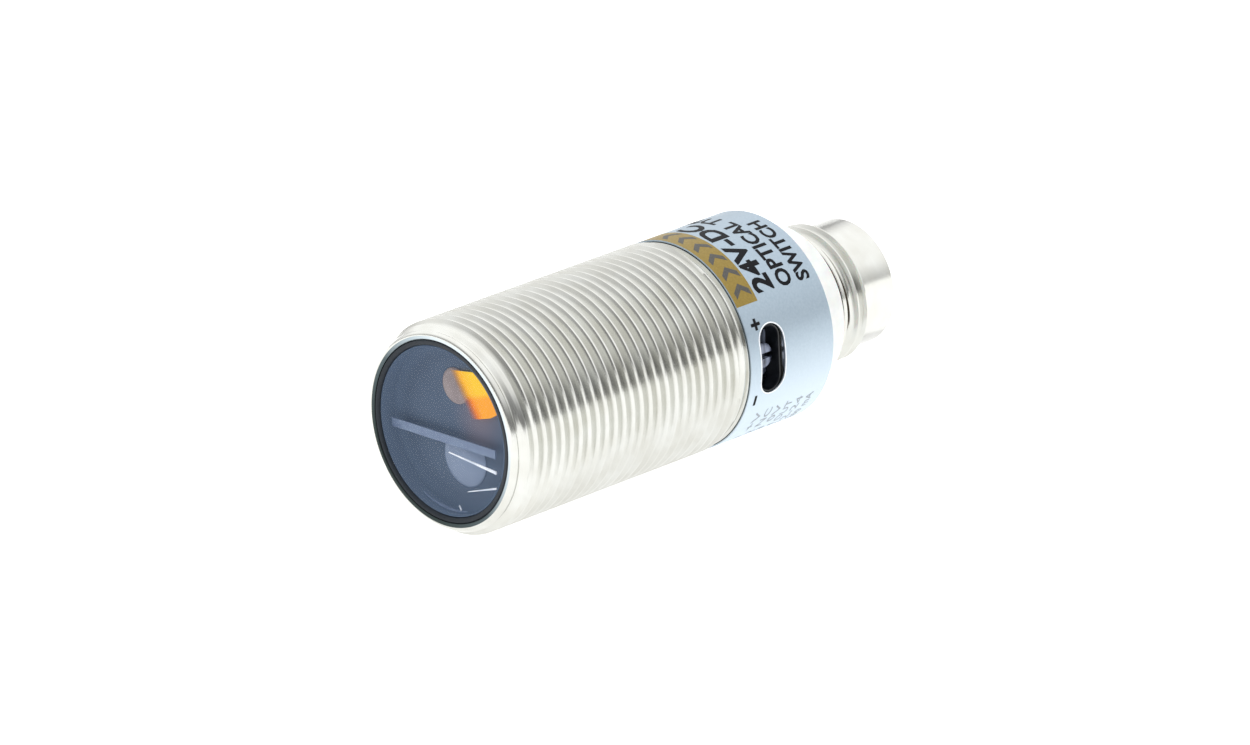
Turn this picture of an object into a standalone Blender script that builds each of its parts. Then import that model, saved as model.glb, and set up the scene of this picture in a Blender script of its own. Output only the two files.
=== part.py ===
"""M18 cylindrical photoelectric sensor with an M12 plug end, one object per piece.

The sensing axis is Y: the window looks along -Y and the connector points along +Y.
The origin is the centre of the window's outer face, +Z is up, and the sensitivity
adjuster faces +X. All lengths are in metres.
"""

import math

import bmesh
import bpy

MM = 0.001

# Driving dimensions of the turned barrel (standard M18 x 1 thread).
BARREL_RADIUS = 9.0 * MM
BORE_RADIUS = 7.7 * MM
RIM_RADIUS = 8.15 * MM
RIM_FRONT = -0.35 * MM
CHAMFER_END = 0.8 * MM
SEAT_RADIUS = 7.95 * MM
SEAT_END = 1.55 * MM
LABEL_FRONT = 26.3 * MM
LABEL_REAR = 36.05 * MM
LABEL_SEAT_RADIUS = 8.8 * MM
LABEL_RADIUS = 8.97 * MM

# Fit between pieces that touch on the real sensor.
FIT = 0.05 * MM

# Window and optics.
WINDOW_FACE_RADIUS = 7.08 * MM
WINDOW_FLANGE_RADIUS = 7.3 * MM
WINDOW_STEP = 0.45 * MM
WINDOW_THICKNESS = 1.5 * MM
GASKET_LIP = -0.1 * MM
HOLDER_RADIUS = 7.6 * MM
HOLDER_RIM_RADIUS = 7.0 * MM
HOLDER_FRONT = 1.6 * MM
HOLDER_FACE = 3.0 * MM
HOLDER_REAR = 9.5 * MM
LENS_OFFSET = 3.72 * MM
LENS_RADIUS = 2.9 * MM
LENS_APEX = 2.35 * MM
LENS_SHOULDER = 3.35 * MM
LENS_BACK = 4.45 * MM
CHAMBER_FRONT_RADIUS = 2.4 * MM
CHAMBER_REAR_RADIUS = 1.7 * MM
BAFFLE_HALF_WIDTH = 6.85 * MM
BAFFLE_HALF_THICKNESS = 0.4 * MM
BAFFLE_REAR = 7.0 * MM

# Light source and detector on the optics board, and the screening can behind it.
DIODE_RADIUS = 1.1 * MM
DIODE_BASE_HEIGHT = 0.85 * MM
DIODE_DOME_RADIUS = 0.7 * MM
DETECTOR_HALF_SIDE = 1.0 * MM
DETECTOR_HEIGHT = 0.65 * MM
SHIELD_HALF_WIDTH = 3.0 * MM
SHIELD_LOW = -6.2 * MM
SHIELD_HIGH = -1.4 * MM
SHIELD_HEIGHT = 1.8 * MM
SHIELD_WALL = 0.25 * MM

# Circuit boards.
OPTICS_BOARD_RADIUS = 7.4 * MM
OPTICS_BOARD_FRONT = 9.6 * MM
OPTICS_BOARD_REAR = 10.6 * MM
MAIN_BOARD_LOW = -1.6 * MM
MAIN_BOARD_HIGH = -0.6 * MM
MAIN_BOARD_FRONT = 13.0 * MM
MAIN_BOARD_REAR = 34.3 * MM
MAIN_BOARD_HALF_WIDTH = 6.9 * MM
CARRIER_INNER_RADIUS = 6.9 * MM
CARRIER_FRONT = 11.0 * MM
CARRIER_REAR = 34.0 * MM

# Sensitivity adjuster: a one-turn trimmer under an oblong opening in the barrel.
ADJUSTER_Y = 28.98 * MM
OPENING_WIDTH = 2.75 * MM
OPENING_LENGTH = 5.95 * MM
BEZEL_WALL = 0.15 * MM
BEZEL_LOW = 6.95 * MM
BEZEL_HIGH = 8.45 * MM
TRIMMER_HALF_SIDE = 2.4 * MM
TRIMMER_TOP = 3.2 * MM
TRIMMER_BORE_RADIUS = 1.3 * MM
TRIMMER_BORE_FLOOR = 1.2 * MM
ROTOR_SHAFT_RADIUS = 1.2 * MM
ROTOR_SHAFT_END = 1.3 * MM
ROTOR_HEAD_RADIUS = 2.2 * MM
ROTOR_HEAD_LOW = 5.2 * MM
ROTOR_HEAD_HIGH = 6.85 * MM
ROTOR_BOSS_RADIUS = 1.1 * MM
ROTOR_TOP = 7.85 * MM
DRIVER_SLOT_WIDTH = 0.5 * MM
DRIVER_SLOT_DEPTH = 0.7 * MM
SEAL_RADIUS = 2.1 * MM

# Rear end: light ring and M12 x 1 male connector.
LIGHT_RING_FRONT = 34.6 * MM
LIGHT_RING_REAR = 40.0 * MM
LIGHT_RING_RADIUS = 6.95 * MM
LIGHT_RING_FLANGE_RADIUS = 8.5 * MM
CONNECTOR_FRONT = 35.2 * MM
CONNECTOR_RADIUS = 6.0 * MM
CONNECTOR_FLANGE_RADIUS = 6.5 * MM
CONNECTOR_FLANGE_REAR = 36.0 * MM
CONNECTOR_BORE_RADIUS = 4.5 * MM
CONNECTOR_THREAD_FRONT = 41.2 * MM
CONNECTOR_THREAD_REAR = 43.65 * MM
CONNECTOR_REAR = 47.15 * MM
PILOT_RADIUS = 5.4 * MM
GROOVE_RADIUS = 5.3 * MM
SEAL_GROOVE_FRONT = 37.5 * MM
SEAL_GROOVE_REAR = 38.5 * MM
SEAL_GROOVE_RADIUS = 5.5 * MM
INSERT_RADIUS = 4.4 * MM
INSERT_REAR = 40.2 * MM
KEY_REAR = 46.0 * MM
KEY_INNER = 3.7 * MM
KEY_OUTER = 4.3 * MM
CONNECTOR_BOARD_RADIUS = 5.6 * MM
CONNECTOR_BOARD_FRONT = 34.7 * MM
CONNECTOR_BOARD_REAR = 35.1 * MM
PIN_COUNT = 4
PIN_RADIUS = 0.5 * MM
PIN_CIRCLE_RADIUS = 2.6 * MM
PIN_HOLE_RADIUS = 0.56 * MM
PIN_FRONT = 34.5 * MM
PIN_TIP = 46.2 * MM

# Facets round each turned piece, by size.
FINE = 64
MEDIUM = 40
SMALL = 20
ARC_STEPS = 24
DOME_STEPS = 4
SHARP_ANGLE = math.radians(32)

for old_object in list(bpy.data.objects):
    bpy.data.objects.remove(old_object, do_unlink=True)


def finish(name, colour, roughness, metallic=0.0, alpha=1.0):
    """A Principled material in linear RGB."""
    material = bpy.data.materials.new(name)
    material.use_nodes = True
    shader = material.node_tree.nodes["Principled BSDF"]
    shader.inputs["Base Color"].default_value = (*colour, 1.0)
    shader.inputs["Roughness"].default_value = roughness
    shader.inputs["Metallic"].default_value = metallic
    shader.inputs["Alpha"].default_value = alpha
    return material


NICKEL = finish("nickel_plated_brass", (0.62, 0.59, 0.54), 0.28, 1.0)
SMOKED = finish("smoked_window", (0.05, 0.065, 0.09), 0.06, 0.0, 0.5)
RUBBER = finish("black_rubber", (0.015, 0.018, 0.022), 0.55)
BLACK = finish("black_plastic", (0.02, 0.02, 0.024), 0.4)
GREY = finish("grey_plastic", (0.30, 0.36, 0.43), 0.5)
CLEAR = finish("clear_lens", (0.75, 0.8, 0.85), 0.05, 0.0, 0.4)
AMBER = finish("amber_emitter", (0.9, 0.32, 0.03), 0.2)
CHIP = finish("chip_epoxy", (0.03, 0.03, 0.03), 0.45)
BOARD = finish("board_laminate", (0.02, 0.14, 0.06), 0.4)
TIN = finish("tinned_steel", (0.55, 0.56, 0.57), 0.35, 1.0)
CERAMIC = finish("capacitor_ceramic", (0.42, 0.30, 0.18), 0.5)
FOIL = finish("label_foil", (0.42, 0.52, 0.62), 0.35, 0.4)
PALE = finish("pale_light_ring", (0.80, 0.80, 0.78), 0.4)
ORANGE = finish("orange_diode", (0.85, 0.25, 0.03), 0.25)
GREEN = finish("green_diode", (0.05, 0.55, 0.12), 0.25)
GOLD = finish("gold_plated_contact", (0.80, 0.58, 0.22), 0.25, 1.0)


def place(name, shape, material, parent=None):
    """Turn a bmesh into a named object with its material."""
    bmesh.ops.recalc_face_normals(shape, faces=shape.faces)
    mesh = bpy.data.meshes.new(name)
    shape.to_mesh(mesh)
    shape.free()
    mesh.materials.append(material)
    made = bpy.data.objects.new(name, mesh)
    bpy.context.collection.objects.link(made)
    made.parent = parent
    return made


def smooth(made):
    """Shade the round faces smooth and keep the turned corners sharp."""
    made.data.shade_smooth()
    made.data.set_sharp_from_angle(angle=SHARP_ANGLE)
    return made


def turned_ring(shape, radius, along, segments):
    """One ring of points round the Y axis, or a single point on the axis."""
    if radius == 0.0:
        return [shape.verts.new((0.0, along, 0.0))]
    ring = []
    for step in range(segments):
        angle = 2.0 * math.pi * step / segments
        point = (radius * math.cos(angle), along, radius * math.sin(angle))
        ring.append(shape.verts.new(point))
    return ring


def lathe(outline, segments):
    """Turn an outline of (radius, distance along Y) round the Y axis.

    An outline that starts and ends on the axis gives a solid piece, and a flat
    end there is one face. Any other outline is closed into a ring.
    """
    outline = list(outline)
    solid = outline[0][0] == 0.0
    flat_front = solid and outline[0][1] == outline[1][1]
    flat_rear = solid and outline[-1][1] == outline[-2][1]
    if flat_front:
        outline = outline[1:]
    if flat_rear:
        outline = outline[:-1]
    shape = bmesh.new()
    rings = [turned_ring(shape, radius, along, segments) for radius, along in outline]
    pairs = list(zip(rings, rings[1:]))
    if not solid:
        pairs.append((rings[-1], rings[0]))
    for first, second in pairs:
        for step in range(segments):
            after = (step + 1) % segments
            if len(first) == 1:
                shape.faces.new((first[0], second[after], second[step]))
            elif len(second) == 1:
                shape.faces.new((first[step], first[after], second[0]))
            else:
                corners = (first[step], first[after], second[after], second[step])
                shape.faces.new(corners)
    if flat_front:
        shape.faces.new(rings[0])
    if flat_rear:
        shape.faces.new(rings[-1])
    return shape


def prism(outline, front, rear):
    """Extrude a closed outline of (x, z) points along Y."""
    shape = bmesh.new()
    near = [shape.verts.new((x, front, z)) for x, z in outline]
    face = shape.faces.new(near)
    grown = bmesh.ops.extrude_face_region(shape, geom=[face])
    moved = [item for item in grown["geom"] if isinstance(item, bmesh.types.BMVert)]
    bmesh.ops.translate(shape, verts=moved, vec=(0.0, rear - front, 0.0))
    return shape


def rectangle(low_x, high_x, low_z, high_z):
    """The four corners of a rectangle in x and z."""
    return [(low_x, low_z), (high_x, low_z), (high_x, high_z), (low_x, high_z)]


def block(low, high):
    """A box between two opposite corners."""
    return prism(rectangle(low[0], high[0], low[2], high[2]), low[1], high[1])


def arc(radius, start, end, steps, centre=(0.0, 0.0)):
    """Points on an arc from start to end, in radians, both ends included."""
    points = []
    for step in range(steps + 1):
        angle = start + (end - start) * step / steps
        x = centre[0] + radius * math.cos(angle)
        points.append((x, centre[1] + radius * math.sin(angle)))
    return points


def stadium(width, length, steps=10):
    """An oblong with round ends, its long side along Z."""
    radius = width / 2.0
    offset = length / 2.0 - radius
    top = arc(radius, 0.0, math.pi, steps, (0.0, offset))
    bottom = arc(radius, math.pi, 2.0 * math.pi, steps, (0.0, -offset))
    return top + bottom


def cutter(name, shape, parent=None):
    """A guide body that only cuts other pieces."""
    made = place(name, shape, BLACK, parent)
    made.hide_render = True
    made.display_type = "WIRE"
    return made


def cut(piece, tool):
    """Cut the tool's volume out of the piece."""
    step = piece.modifiers.new(tool.name, "BOOLEAN")
    step.operation = "DIFFERENCE"
    step.solver = "EXACT"
    step.object = tool


def join(piece, tool):
    """Merge the tool's volume into the piece."""
    step = piece.modifiers.new(tool.name, "BOOLEAN")
    step.operation = "UNION"
    step.solver = "EXACT"
    step.object = tool


# The adjuster turns about this empty's own +Y, which points along world +X.
adjuster_axis = bpy.data.objects.new("adjuster_axis", None)
adjuster_axis.location = (0.0, ADJUSTER_Y, 0.0)
adjuster_axis.rotation_euler = (0.0, 0.0, math.radians(-90.0))
bpy.context.collection.objects.link(adjuster_axis)


def make_housing():
    """The barrel: one nickel-plated brass turning, open at both ends."""
    chamfer = 0.15 * MM
    outline = [
        (SEAT_RADIUS, RIM_FRONT + 2.0 * chamfer),
        (RIM_RADIUS - chamfer / 2.0, RIM_FRONT),
        (RIM_RADIUS, RIM_FRONT),
        (BARREL_RADIUS, CHAMFER_END),
        (BARREL_RADIUS, LABEL_FRONT - 2.0 * chamfer),
        (LABEL_SEAT_RADIUS, LABEL_FRONT - chamfer),
        (LABEL_SEAT_RADIUS, LABEL_REAR),
        (BORE_RADIUS, LABEL_REAR),
        (BORE_RADIUS, SEAT_END),
        (SEAT_RADIUS, SEAT_END),
    ]
    housing = smooth(place("housing", lathe(outline, FINE), NICKEL))
    tool = prism(stadium(OPENING_WIDTH, OPENING_LENGTH), BORE_RADIUS / 2.0, 2.0 * BARREL_RADIUS)
    opening = cutter("adjuster_opening_cutter", tool, adjuster_axis)
    cut(housing, opening)
    return opening


def make_label(opening):
    """The foil label, a thin sleeve on the barrel's seat with the same opening."""
    inner = LABEL_SEAT_RADIUS + FIT
    outline = [
        (inner, LABEL_FRONT),
        (LABEL_RADIUS, LABEL_FRONT),
        (LABEL_RADIUS, LABEL_REAR),
        (inner, LABEL_REAR),
    ]
    label = smooth(place("label_sleeve", lathe(outline, FINE), FOIL))
    cut(label, opening)


def make_window():
    """Smoked window with a stepped edge, held in a black rubber ring."""
    outline = [
        (0.0, 0.0),
        (WINDOW_FACE_RADIUS, 0.0),
        (WINDOW_FACE_RADIUS, WINDOW_STEP),
        (WINDOW_FLANGE_RADIUS, WINDOW_STEP),
        (WINDOW_FLANGE_RADIUS, WINDOW_THICKNESS),
        (0.0, WINDOW_THICKNESS),
    ]
    smooth(place("front_window", lathe(outline, FINE), SMOKED))
    outline = [
        (WINDOW_FACE_RADIUS + FIT, GASKET_LIP),
        (SEAT_RADIUS - FIT, GASKET_LIP),
        (SEAT_RADIUS - FIT, WINDOW_THICKNESS),
        (WINDOW_FLANGE_RADIUS + FIT, WINDOW_THICKNESS),
        (WINDOW_FLANGE_RADIUS + FIT, WINDOW_STEP - FIT),
        (WINDOW_FACE_RADIUS + FIT, WINDOW_STEP - FIT),
    ]
    smooth(place("window_gasket", lathe(outline, FINE), RUBBER))


def make_lens_holder():
    """Black plug with a light chamber for each lens and a slot for the baffle."""
    outline = [
        (HOLDER_RIM_RADIUS, HOLDER_FRONT),
        (HOLDER_RADIUS, HOLDER_FRONT),
        (HOLDER_RADIUS, HOLDER_REAR),
        (0.0, HOLDER_REAR),
    ]
    outline = [(0.0, HOLDER_FACE), (HOLDER_RIM_RADIUS, HOLDER_FACE)] + outline
    holder = smooth(place("lens_holder", lathe(outline, FINE), BLACK))
    beyond = 1.0 * MM
    chamber = [
        (0.0, HOLDER_FACE - beyond),
        (LENS_RADIUS + FIT, HOLDER_FACE - beyond),
        (LENS_RADIUS + FIT, LENS_BACK + FIT),
        (CHAMBER_FRONT_RADIUS, LENS_BACK + FIT),
        (CHAMBER_REAR_RADIUS, HOLDER_REAR),
        (CHAMBER_REAR_RADIUS, HOLDER_REAR + beyond),
        (0.0, HOLDER_REAR + beyond),
    ]
    for name, side in (("emitter", 1.0), ("receiver", -1.0)):
        tool = cutter(name + "_chamber_cutter", lathe(chamber, MEDIUM))
        tool.location = (0.0, 0.0, side * LENS_OFFSET)
        cut(holder, tool)
    half_x = BAFFLE_HALF_WIDTH + 2.0 * FIT
    half_z = BAFFLE_HALF_THICKNESS + FIT
    low = (-half_x, HOLDER_FRONT - beyond, -half_z)
    high = (half_x, BAFFLE_REAR + FIT, half_z)
    cut(holder, cutter("baffle_slot_cutter", block(low, high)))


def make_baffle():
    """The flat divider that keeps the emitter's light out of the receiver."""
    low = (-BAFFLE_HALF_WIDTH, HOLDER_FRONT + FIT, -BAFFLE_HALF_THICKNESS)
    high = (BAFFLE_HALF_WIDTH, BAFFLE_REAR, BAFFLE_HALF_THICKNESS)
    place("light_baffle", block(low, high), GREY)


def make_lenses():
    """Two plano-convex lenses, one over the other."""
    rise = LENS_SHOULDER - LENS_APEX
    sphere = (LENS_RADIUS**2 + rise**2) / (2.0 * rise)
    dome = [(0.0, LENS_APEX)]
    for step in range(1, DOME_STEPS + 1):
        radius = LENS_RADIUS * step / DOME_STEPS
        dome.append((radius, LENS_APEX + sphere - math.sqrt(sphere**2 - radius**2)))
    outline = dome + [(LENS_RADIUS, LENS_BACK), (0.0, LENS_BACK)]
    for name, side in (("emitter_lens", 1.0), ("receiver_lens", -1.0)):
        lens = smooth(place(name, lathe(outline, MEDIUM), CLEAR))
        lens.location = (0.0, 0.0, side * LENS_OFFSET)


def make_optics_board():
    """The round front board with the light source, the detector and their parts."""
    outline = [
        (0.0, OPTICS_BOARD_FRONT),
        (OPTICS_BOARD_RADIUS, OPTICS_BOARD_FRONT),
        (OPTICS_BOARD_RADIUS, OPTICS_BOARD_REAR),
        (0.0, OPTICS_BOARD_REAR),
    ]
    smooth(place("optics_board", lathe(outline, MEDIUM), BOARD))
    base = OPTICS_BOARD_FRONT - FIT
    shoulder = base - DIODE_BASE_HEIGHT
    dome = arc(DIODE_DOME_RADIUS, math.radians(60.0), 0.0, DOME_STEPS)
    outline = [(0.0, shoulder - DIODE_DOME_RADIUS)]
    outline += [(radius, shoulder - along) for radius, along in dome]
    outline += [(DIODE_RADIUS, shoulder), (DIODE_RADIUS, base), (0.0, base)]
    diode = smooth(place("emitter_led", lathe(outline, SMALL), AMBER))
    diode.location = (0.0, 0.0, LENS_OFFSET)
    half = DETECTOR_HALF_SIDE
    low = (-half, base - DETECTOR_HEIGHT, -half)
    detector = place("receiver_photodiode", block(low, (half, base, half)), CHIP)
    detector.location = (0.0, 0.0, -LENS_OFFSET)
    back = OPTICS_BOARD_REAR + FIT
    # Name, low corner (x, z), high corner (x, z) and height, in millimetres.
    parts = (
        ("receiver_amplifier", (-1.2, -4.8), (1.2, -2.4), 0.9),
        ("driver_transistor", (-0.8, 2.5), (0.8, 4.5), 0.95),
    )
    for name, low, high, height in parts:
        start = (low[0] * MM, back, low[1] * MM)
        end = (high[0] * MM, back + height * MM, high[1] * MM)
        place(name, block(start, end), CHIP)
    low = (-SHIELD_HALF_WIDTH, back, SHIELD_LOW)
    high = (SHIELD_HALF_WIDTH, back + SHIELD_HEIGHT, SHIELD_HIGH)
    shield = place("amplifier_shield", block(low, high), TIN)
    low = (low[0] + SHIELD_WALL, back - SHIELD_WALL, low[2] + SHIELD_WALL)
    high = tuple(edge - SHIELD_WALL for edge in high)
    cut(shield, cutter("shield_hollow_cutter", block(low, high)))


def make_main_board():
    """The long board, its plastic carrier and the parts soldered on its top face."""
    half = MAIN_BOARD_HALF_WIDTH
    low = (MAIN_BOARD_LOW, MAIN_BOARD_FRONT, -half)
    high = (MAIN_BOARD_HIGH, MAIN_BOARD_REAR, half)
    place("main_board", block(low, high), BOARD)
    edge = MAIN_BOARD_LOW - 2.0 * FIT
    outer = math.acos(edge / HOLDER_RADIUS)
    inner = math.acos(edge / CARRIER_INNER_RADIUS)
    outline = arc(HOLDER_RADIUS, outer, 2.0 * math.pi - outer, ARC_STEPS)
    outline += arc(CARRIER_INNER_RADIUS, 2.0 * math.pi - inner, inner, ARC_STEPS)
    shell = prism(outline, CARRIER_FRONT, CARRIER_REAR)
    smooth(place("board_carrier", shell, BLACK))
    face = MAIN_BOARD_HIGH + FIT
    # Name, front corner (y, z), rear corner (y, z), height in millimetres, material.
    parts = (
        ("board_link", (10.65, -0.9), (14.5, 0.9), 1.1, BLACK),
        ("control_chip", (16.5, -2.5), (21.5, 2.5), 1.2, CHIP),
        ("protection_diode", (16.5, 3.9), (18.7, 5.6), 1.1, CHIP),
        ("capacitor_1", (22.6, 3.2), (24.2, 6.0), 1.5, CERAMIC),
        ("capacitor_2", (16.8, -6.0), (20.0, -4.0), 1.3, CERAMIC),
        ("output_transistor", (22.6, -5.8), (25.0, -2.8), 1.3, CHIP),
        ("indicator_led_orange", (32.4, 4.4), (34.0, 5.6), 0.8, ORANGE),
        ("indicator_led_green", (32.4, -5.6), (34.0, -4.4), 0.8, GREEN),
        ("rear_link", (32.6, -1.5), (34.65, 1.5), 1.1, BLACK),
    )
    for name, low, high, height, material in parts:
        start = (face, low[0] * MM, low[1] * MM)
        end = (face + height * MM, high[0] * MM, high[1] * MM)
        place(name, block(start, end), material)


def make_adjuster():
    """One-turn trimmer, its slotted rotor, a rubber seal and a black bezel."""
    half = TRIMMER_HALF_SIDE
    low = (-half, MAIN_BOARD_HIGH + FIT, -half)
    body = place("adjuster_body", block(low, (half, TRIMMER_TOP, half)), BLACK, adjuster_axis)
    bore = [
        (0.0, TRIMMER_BORE_FLOOR),
        (TRIMMER_BORE_RADIUS, TRIMMER_BORE_FLOOR),
        (TRIMMER_BORE_RADIUS, TRIMMER_TOP + MM),
        (0.0, TRIMMER_TOP + MM),
    ]
    cut(body, cutter("trimmer_bore_cutter", lathe(bore, MEDIUM), adjuster_axis))
    outline = [
        (0.0, ROTOR_SHAFT_END),
        (ROTOR_SHAFT_RADIUS, ROTOR_SHAFT_END),
        (ROTOR_SHAFT_RADIUS, ROTOR_HEAD_LOW),
        (ROTOR_HEAD_RADIUS, ROTOR_HEAD_LOW),
        (ROTOR_HEAD_RADIUS, ROTOR_HEAD_HIGH),
        (ROTOR_BOSS_RADIUS, ROTOR_HEAD_HIGH),
        (ROTOR_BOSS_RADIUS, ROTOR_TOP),
        (0.0, ROTOR_TOP),
    ]
    rotor = smooth(place("adjuster_rotor", lathe(outline, MEDIUM), BLACK, adjuster_axis))
    half_slot = DRIVER_SLOT_WIDTH / 2.0
    reach = 2.0 * ROTOR_BOSS_RADIUS
    low = (-reach, ROTOR_TOP - DRIVER_SLOT_DEPTH, -half_slot)
    high = (reach, ROTOR_TOP + MM, half_slot)
    cut(rotor, cutter("driver_slot_cutter", block(low, high), adjuster_axis))
    outline = [
        (TRIMMER_BORE_RADIUS, TRIMMER_TOP + 2.0 * FIT),
        (SEAL_RADIUS, TRIMMER_TOP + 2.0 * FIT),
        (SEAL_RADIUS, ROTOR_HEAD_LOW - 2.0 * FIT),
        (TRIMMER_BORE_RADIUS, ROTOR_HEAD_LOW - 2.0 * FIT),
    ]
    smooth(place("adjuster_seal", lathe(outline, MEDIUM), RUBBER, adjuster_axis))
    width = OPENING_WIDTH - 2.0 * FIT
    length = OPENING_LENGTH - 2.0 * FIT
    ring = prism(stadium(width, length), BEZEL_LOW, BEZEL_HIGH)
    bezel = smooth(place("adjuster_bezel", ring, BLACK, adjuster_axis))
    width -= 2.0 * BEZEL_WALL
    length -= 2.0 * BEZEL_WALL
    hole = prism(stadium(width, length), BEZEL_LOW - MM, BEZEL_HIGH + MM)
    cut(bezel, cutter("bezel_hole_cutter", hole, adjuster_axis))


def make_light_ring():
    """Pale translucent ring behind the label that carries the indicator light."""
    sleeve = BORE_RADIUS - 2.0 * FIT
    flange = LABEL_REAR + 2.0 * FIT
    outline = [
        (CONNECTOR_FLANGE_RADIUS + 2.0 * FIT, LIGHT_RING_FRONT),
        (sleeve, LIGHT_RING_FRONT),
        (sleeve, flange),
        (LIGHT_RING_FLANGE_RADIUS, flange),
        (LIGHT_RING_FLANGE_RADIUS, flange + 0.4 * MM),
        (LIGHT_RING_RADIUS, flange + 1.2 * MM),
        (LIGHT_RING_RADIUS, LIGHT_RING_REAR - 0.1 * MM),
        (LIGHT_RING_RADIUS - 0.1 * MM, LIGHT_RING_REAR),
        (CONNECTOR_RADIUS + 2.0 * FIT, LIGHT_RING_REAR),
        (CONNECTOR_RADIUS + 2.0 * FIT, CONNECTOR_FLANGE_REAR + 2.0 * FIT),
        (CONNECTOR_FLANGE_RADIUS + 2.0 * FIT, CONNECTOR_FLANGE_REAR + 2.0 * FIT),
    ]
    smooth(place("light_ring", lathe(outline, FINE), PALE))


def make_connector_shell():
    """Nickel-plated brass M12 shell with two grooves, a thread and a plain pilot."""
    collar_front = LIGHT_RING_REAR + 0.25 * MM
    collar_rear = CONNECTOR_THREAD_FRONT - 0.3 * MM
    bevel = 0.2 * MM
    outline = [
        (CONNECTOR_BORE_RADIUS, CONNECTOR_FRONT),
        (CONNECTOR_FLANGE_RADIUS, CONNECTOR_FRONT),
        (CONNECTOR_FLANGE_RADIUS, CONNECTOR_FLANGE_REAR),
        (CONNECTOR_RADIUS, CONNECTOR_FLANGE_REAR),
        (CONNECTOR_RADIUS, SEAL_GROOVE_FRONT),
        (SEAL_GROOVE_RADIUS, SEAL_GROOVE_FRONT),
        (SEAL_GROOVE_RADIUS, SEAL_GROOVE_REAR),
        (CONNECTOR_RADIUS, SEAL_GROOVE_REAR),
        (CONNECTOR_RADIUS, LIGHT_RING_REAR),
        (GROOVE_RADIUS, LIGHT_RING_REAR),
        (GROOVE_RADIUS, collar_front),
        (CONNECTOR_RADIUS, collar_front),
        (CONNECTOR_RADIUS, collar_rear),
        (GROOVE_RADIUS, collar_rear),
        (GROOVE_RADIUS, CONNECTOR_THREAD_FRONT - bevel / 2.0),
        (CONNECTOR_RADIUS, CONNECTOR_THREAD_FRONT + bevel),
        (CONNECTOR_RADIUS, CONNECTOR_THREAD_REAR - bevel),
        (PILOT_RADIUS, CONNECTOR_THREAD_REAR + bevel),
        (PILOT_RADIUS, CONNECTOR_REAR - bevel),
        (PILOT_RADIUS - bevel, CONNECTOR_REAR),
        (CONNECTOR_BORE_RADIUS, CONNECTOR_REAR),
    ]
    smooth(place("connector_shell", lathe(outline, MEDIUM), NICKEL))
    inner = SEAL_GROOVE_RADIUS + FIT
    outer = CONNECTOR_RADIUS + FIT
    seal = [
        (inner, SEAL_GROOVE_FRONT + 2.0 * FIT),
        (outer, SEAL_GROOVE_FRONT + 2.0 * FIT),
        (outer, SEAL_GROOVE_REAR - 2.0 * FIT),
        (inner, SEAL_GROOVE_REAR - 2.0 * FIT),
    ]
    smooth(place("connector_seal", lathe(seal, MEDIUM), RUBBER))


def make_connector_core():
    """Insert with its coding key, the round rear board and four pins."""
    front = CONNECTOR_FRONT + FIT
    outline = [(0.0, front), (INSERT_RADIUS, front), (INSERT_RADIUS, INSERT_REAR)]
    outline += [(0.0, INSERT_REAR)]
    insert = smooth(place("connector_insert", lathe(outline, MEDIUM), BLACK))
    key_half = 0.45 * MM
    low = (KEY_INNER, INSERT_REAR - 0.5 * MM, -key_half)
    high = (KEY_OUTER, KEY_REAR, key_half)
    key = cutter("coding_key", block(low, high))
    key.rotation_euler = (0.0, math.radians(-45.0), 0.0)
    join(insert, key)
    outline = [
        (0.0, CONNECTOR_BOARD_FRONT),
        (CONNECTOR_BOARD_RADIUS, CONNECTOR_BOARD_FRONT),
        (CONNECTOR_BOARD_RADIUS, CONNECTOR_BOARD_REAR),
        (0.0, CONNECTOR_BOARD_REAR),
    ]
    board = smooth(place("connector_board", lathe(outline, MEDIUM), BOARD))
    hole = [
        (0.0, PIN_FRONT - MM),
        (PIN_HOLE_RADIUS, PIN_FRONT - MM),
        (PIN_HOLE_RADIUS, INSERT_REAR + MM),
        (0.0, INSERT_REAR + MM),
    ]
    tip = PIN_RADIUS * 0.6
    pin = [
        (0.0, PIN_FRONT),
        (PIN_RADIUS, PIN_FRONT),
        (PIN_RADIUS, PIN_TIP - PIN_RADIUS),
        (tip, PIN_TIP),
        (0.0, PIN_TIP),
    ]
    for index in range(PIN_COUNT):
        angle = 2.0 * math.pi * index / PIN_COUNT
        spot = (PIN_CIRCLE_RADIUS * math.cos(angle), 0.0, PIN_CIRCLE_RADIUS * math.sin(angle))
        tool = cutter(f"pin_hole_cutter_{index + 1}", lathe(hole, SMALL))
        tool.location = spot
        cut(insert, tool)
        cut(board, tool)
        contact = smooth(place(f"contact_pin_{index + 1}", lathe(pin, SMALL), GOLD))
        contact.location = spot


make_label(make_housing())
make_window()
make_lens_holder()
make_baffle()
make_lenses()
make_optics_board()
make_main_board()
make_adjuster()
make_light_ring()
make_connector_shell()
make_connector_core()
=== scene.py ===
"""Looks of a cylindrical M18 photoelectric sensor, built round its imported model.

The sensing axis is Y: the window looks along -Y and the plug end points along +Y. The
sensitivity adjuster faces +X. Angles round the barrel run from +X up towards +Z.
"""

import math

import bmesh
import bpy
from mathutils import Matrix, Vector


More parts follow.
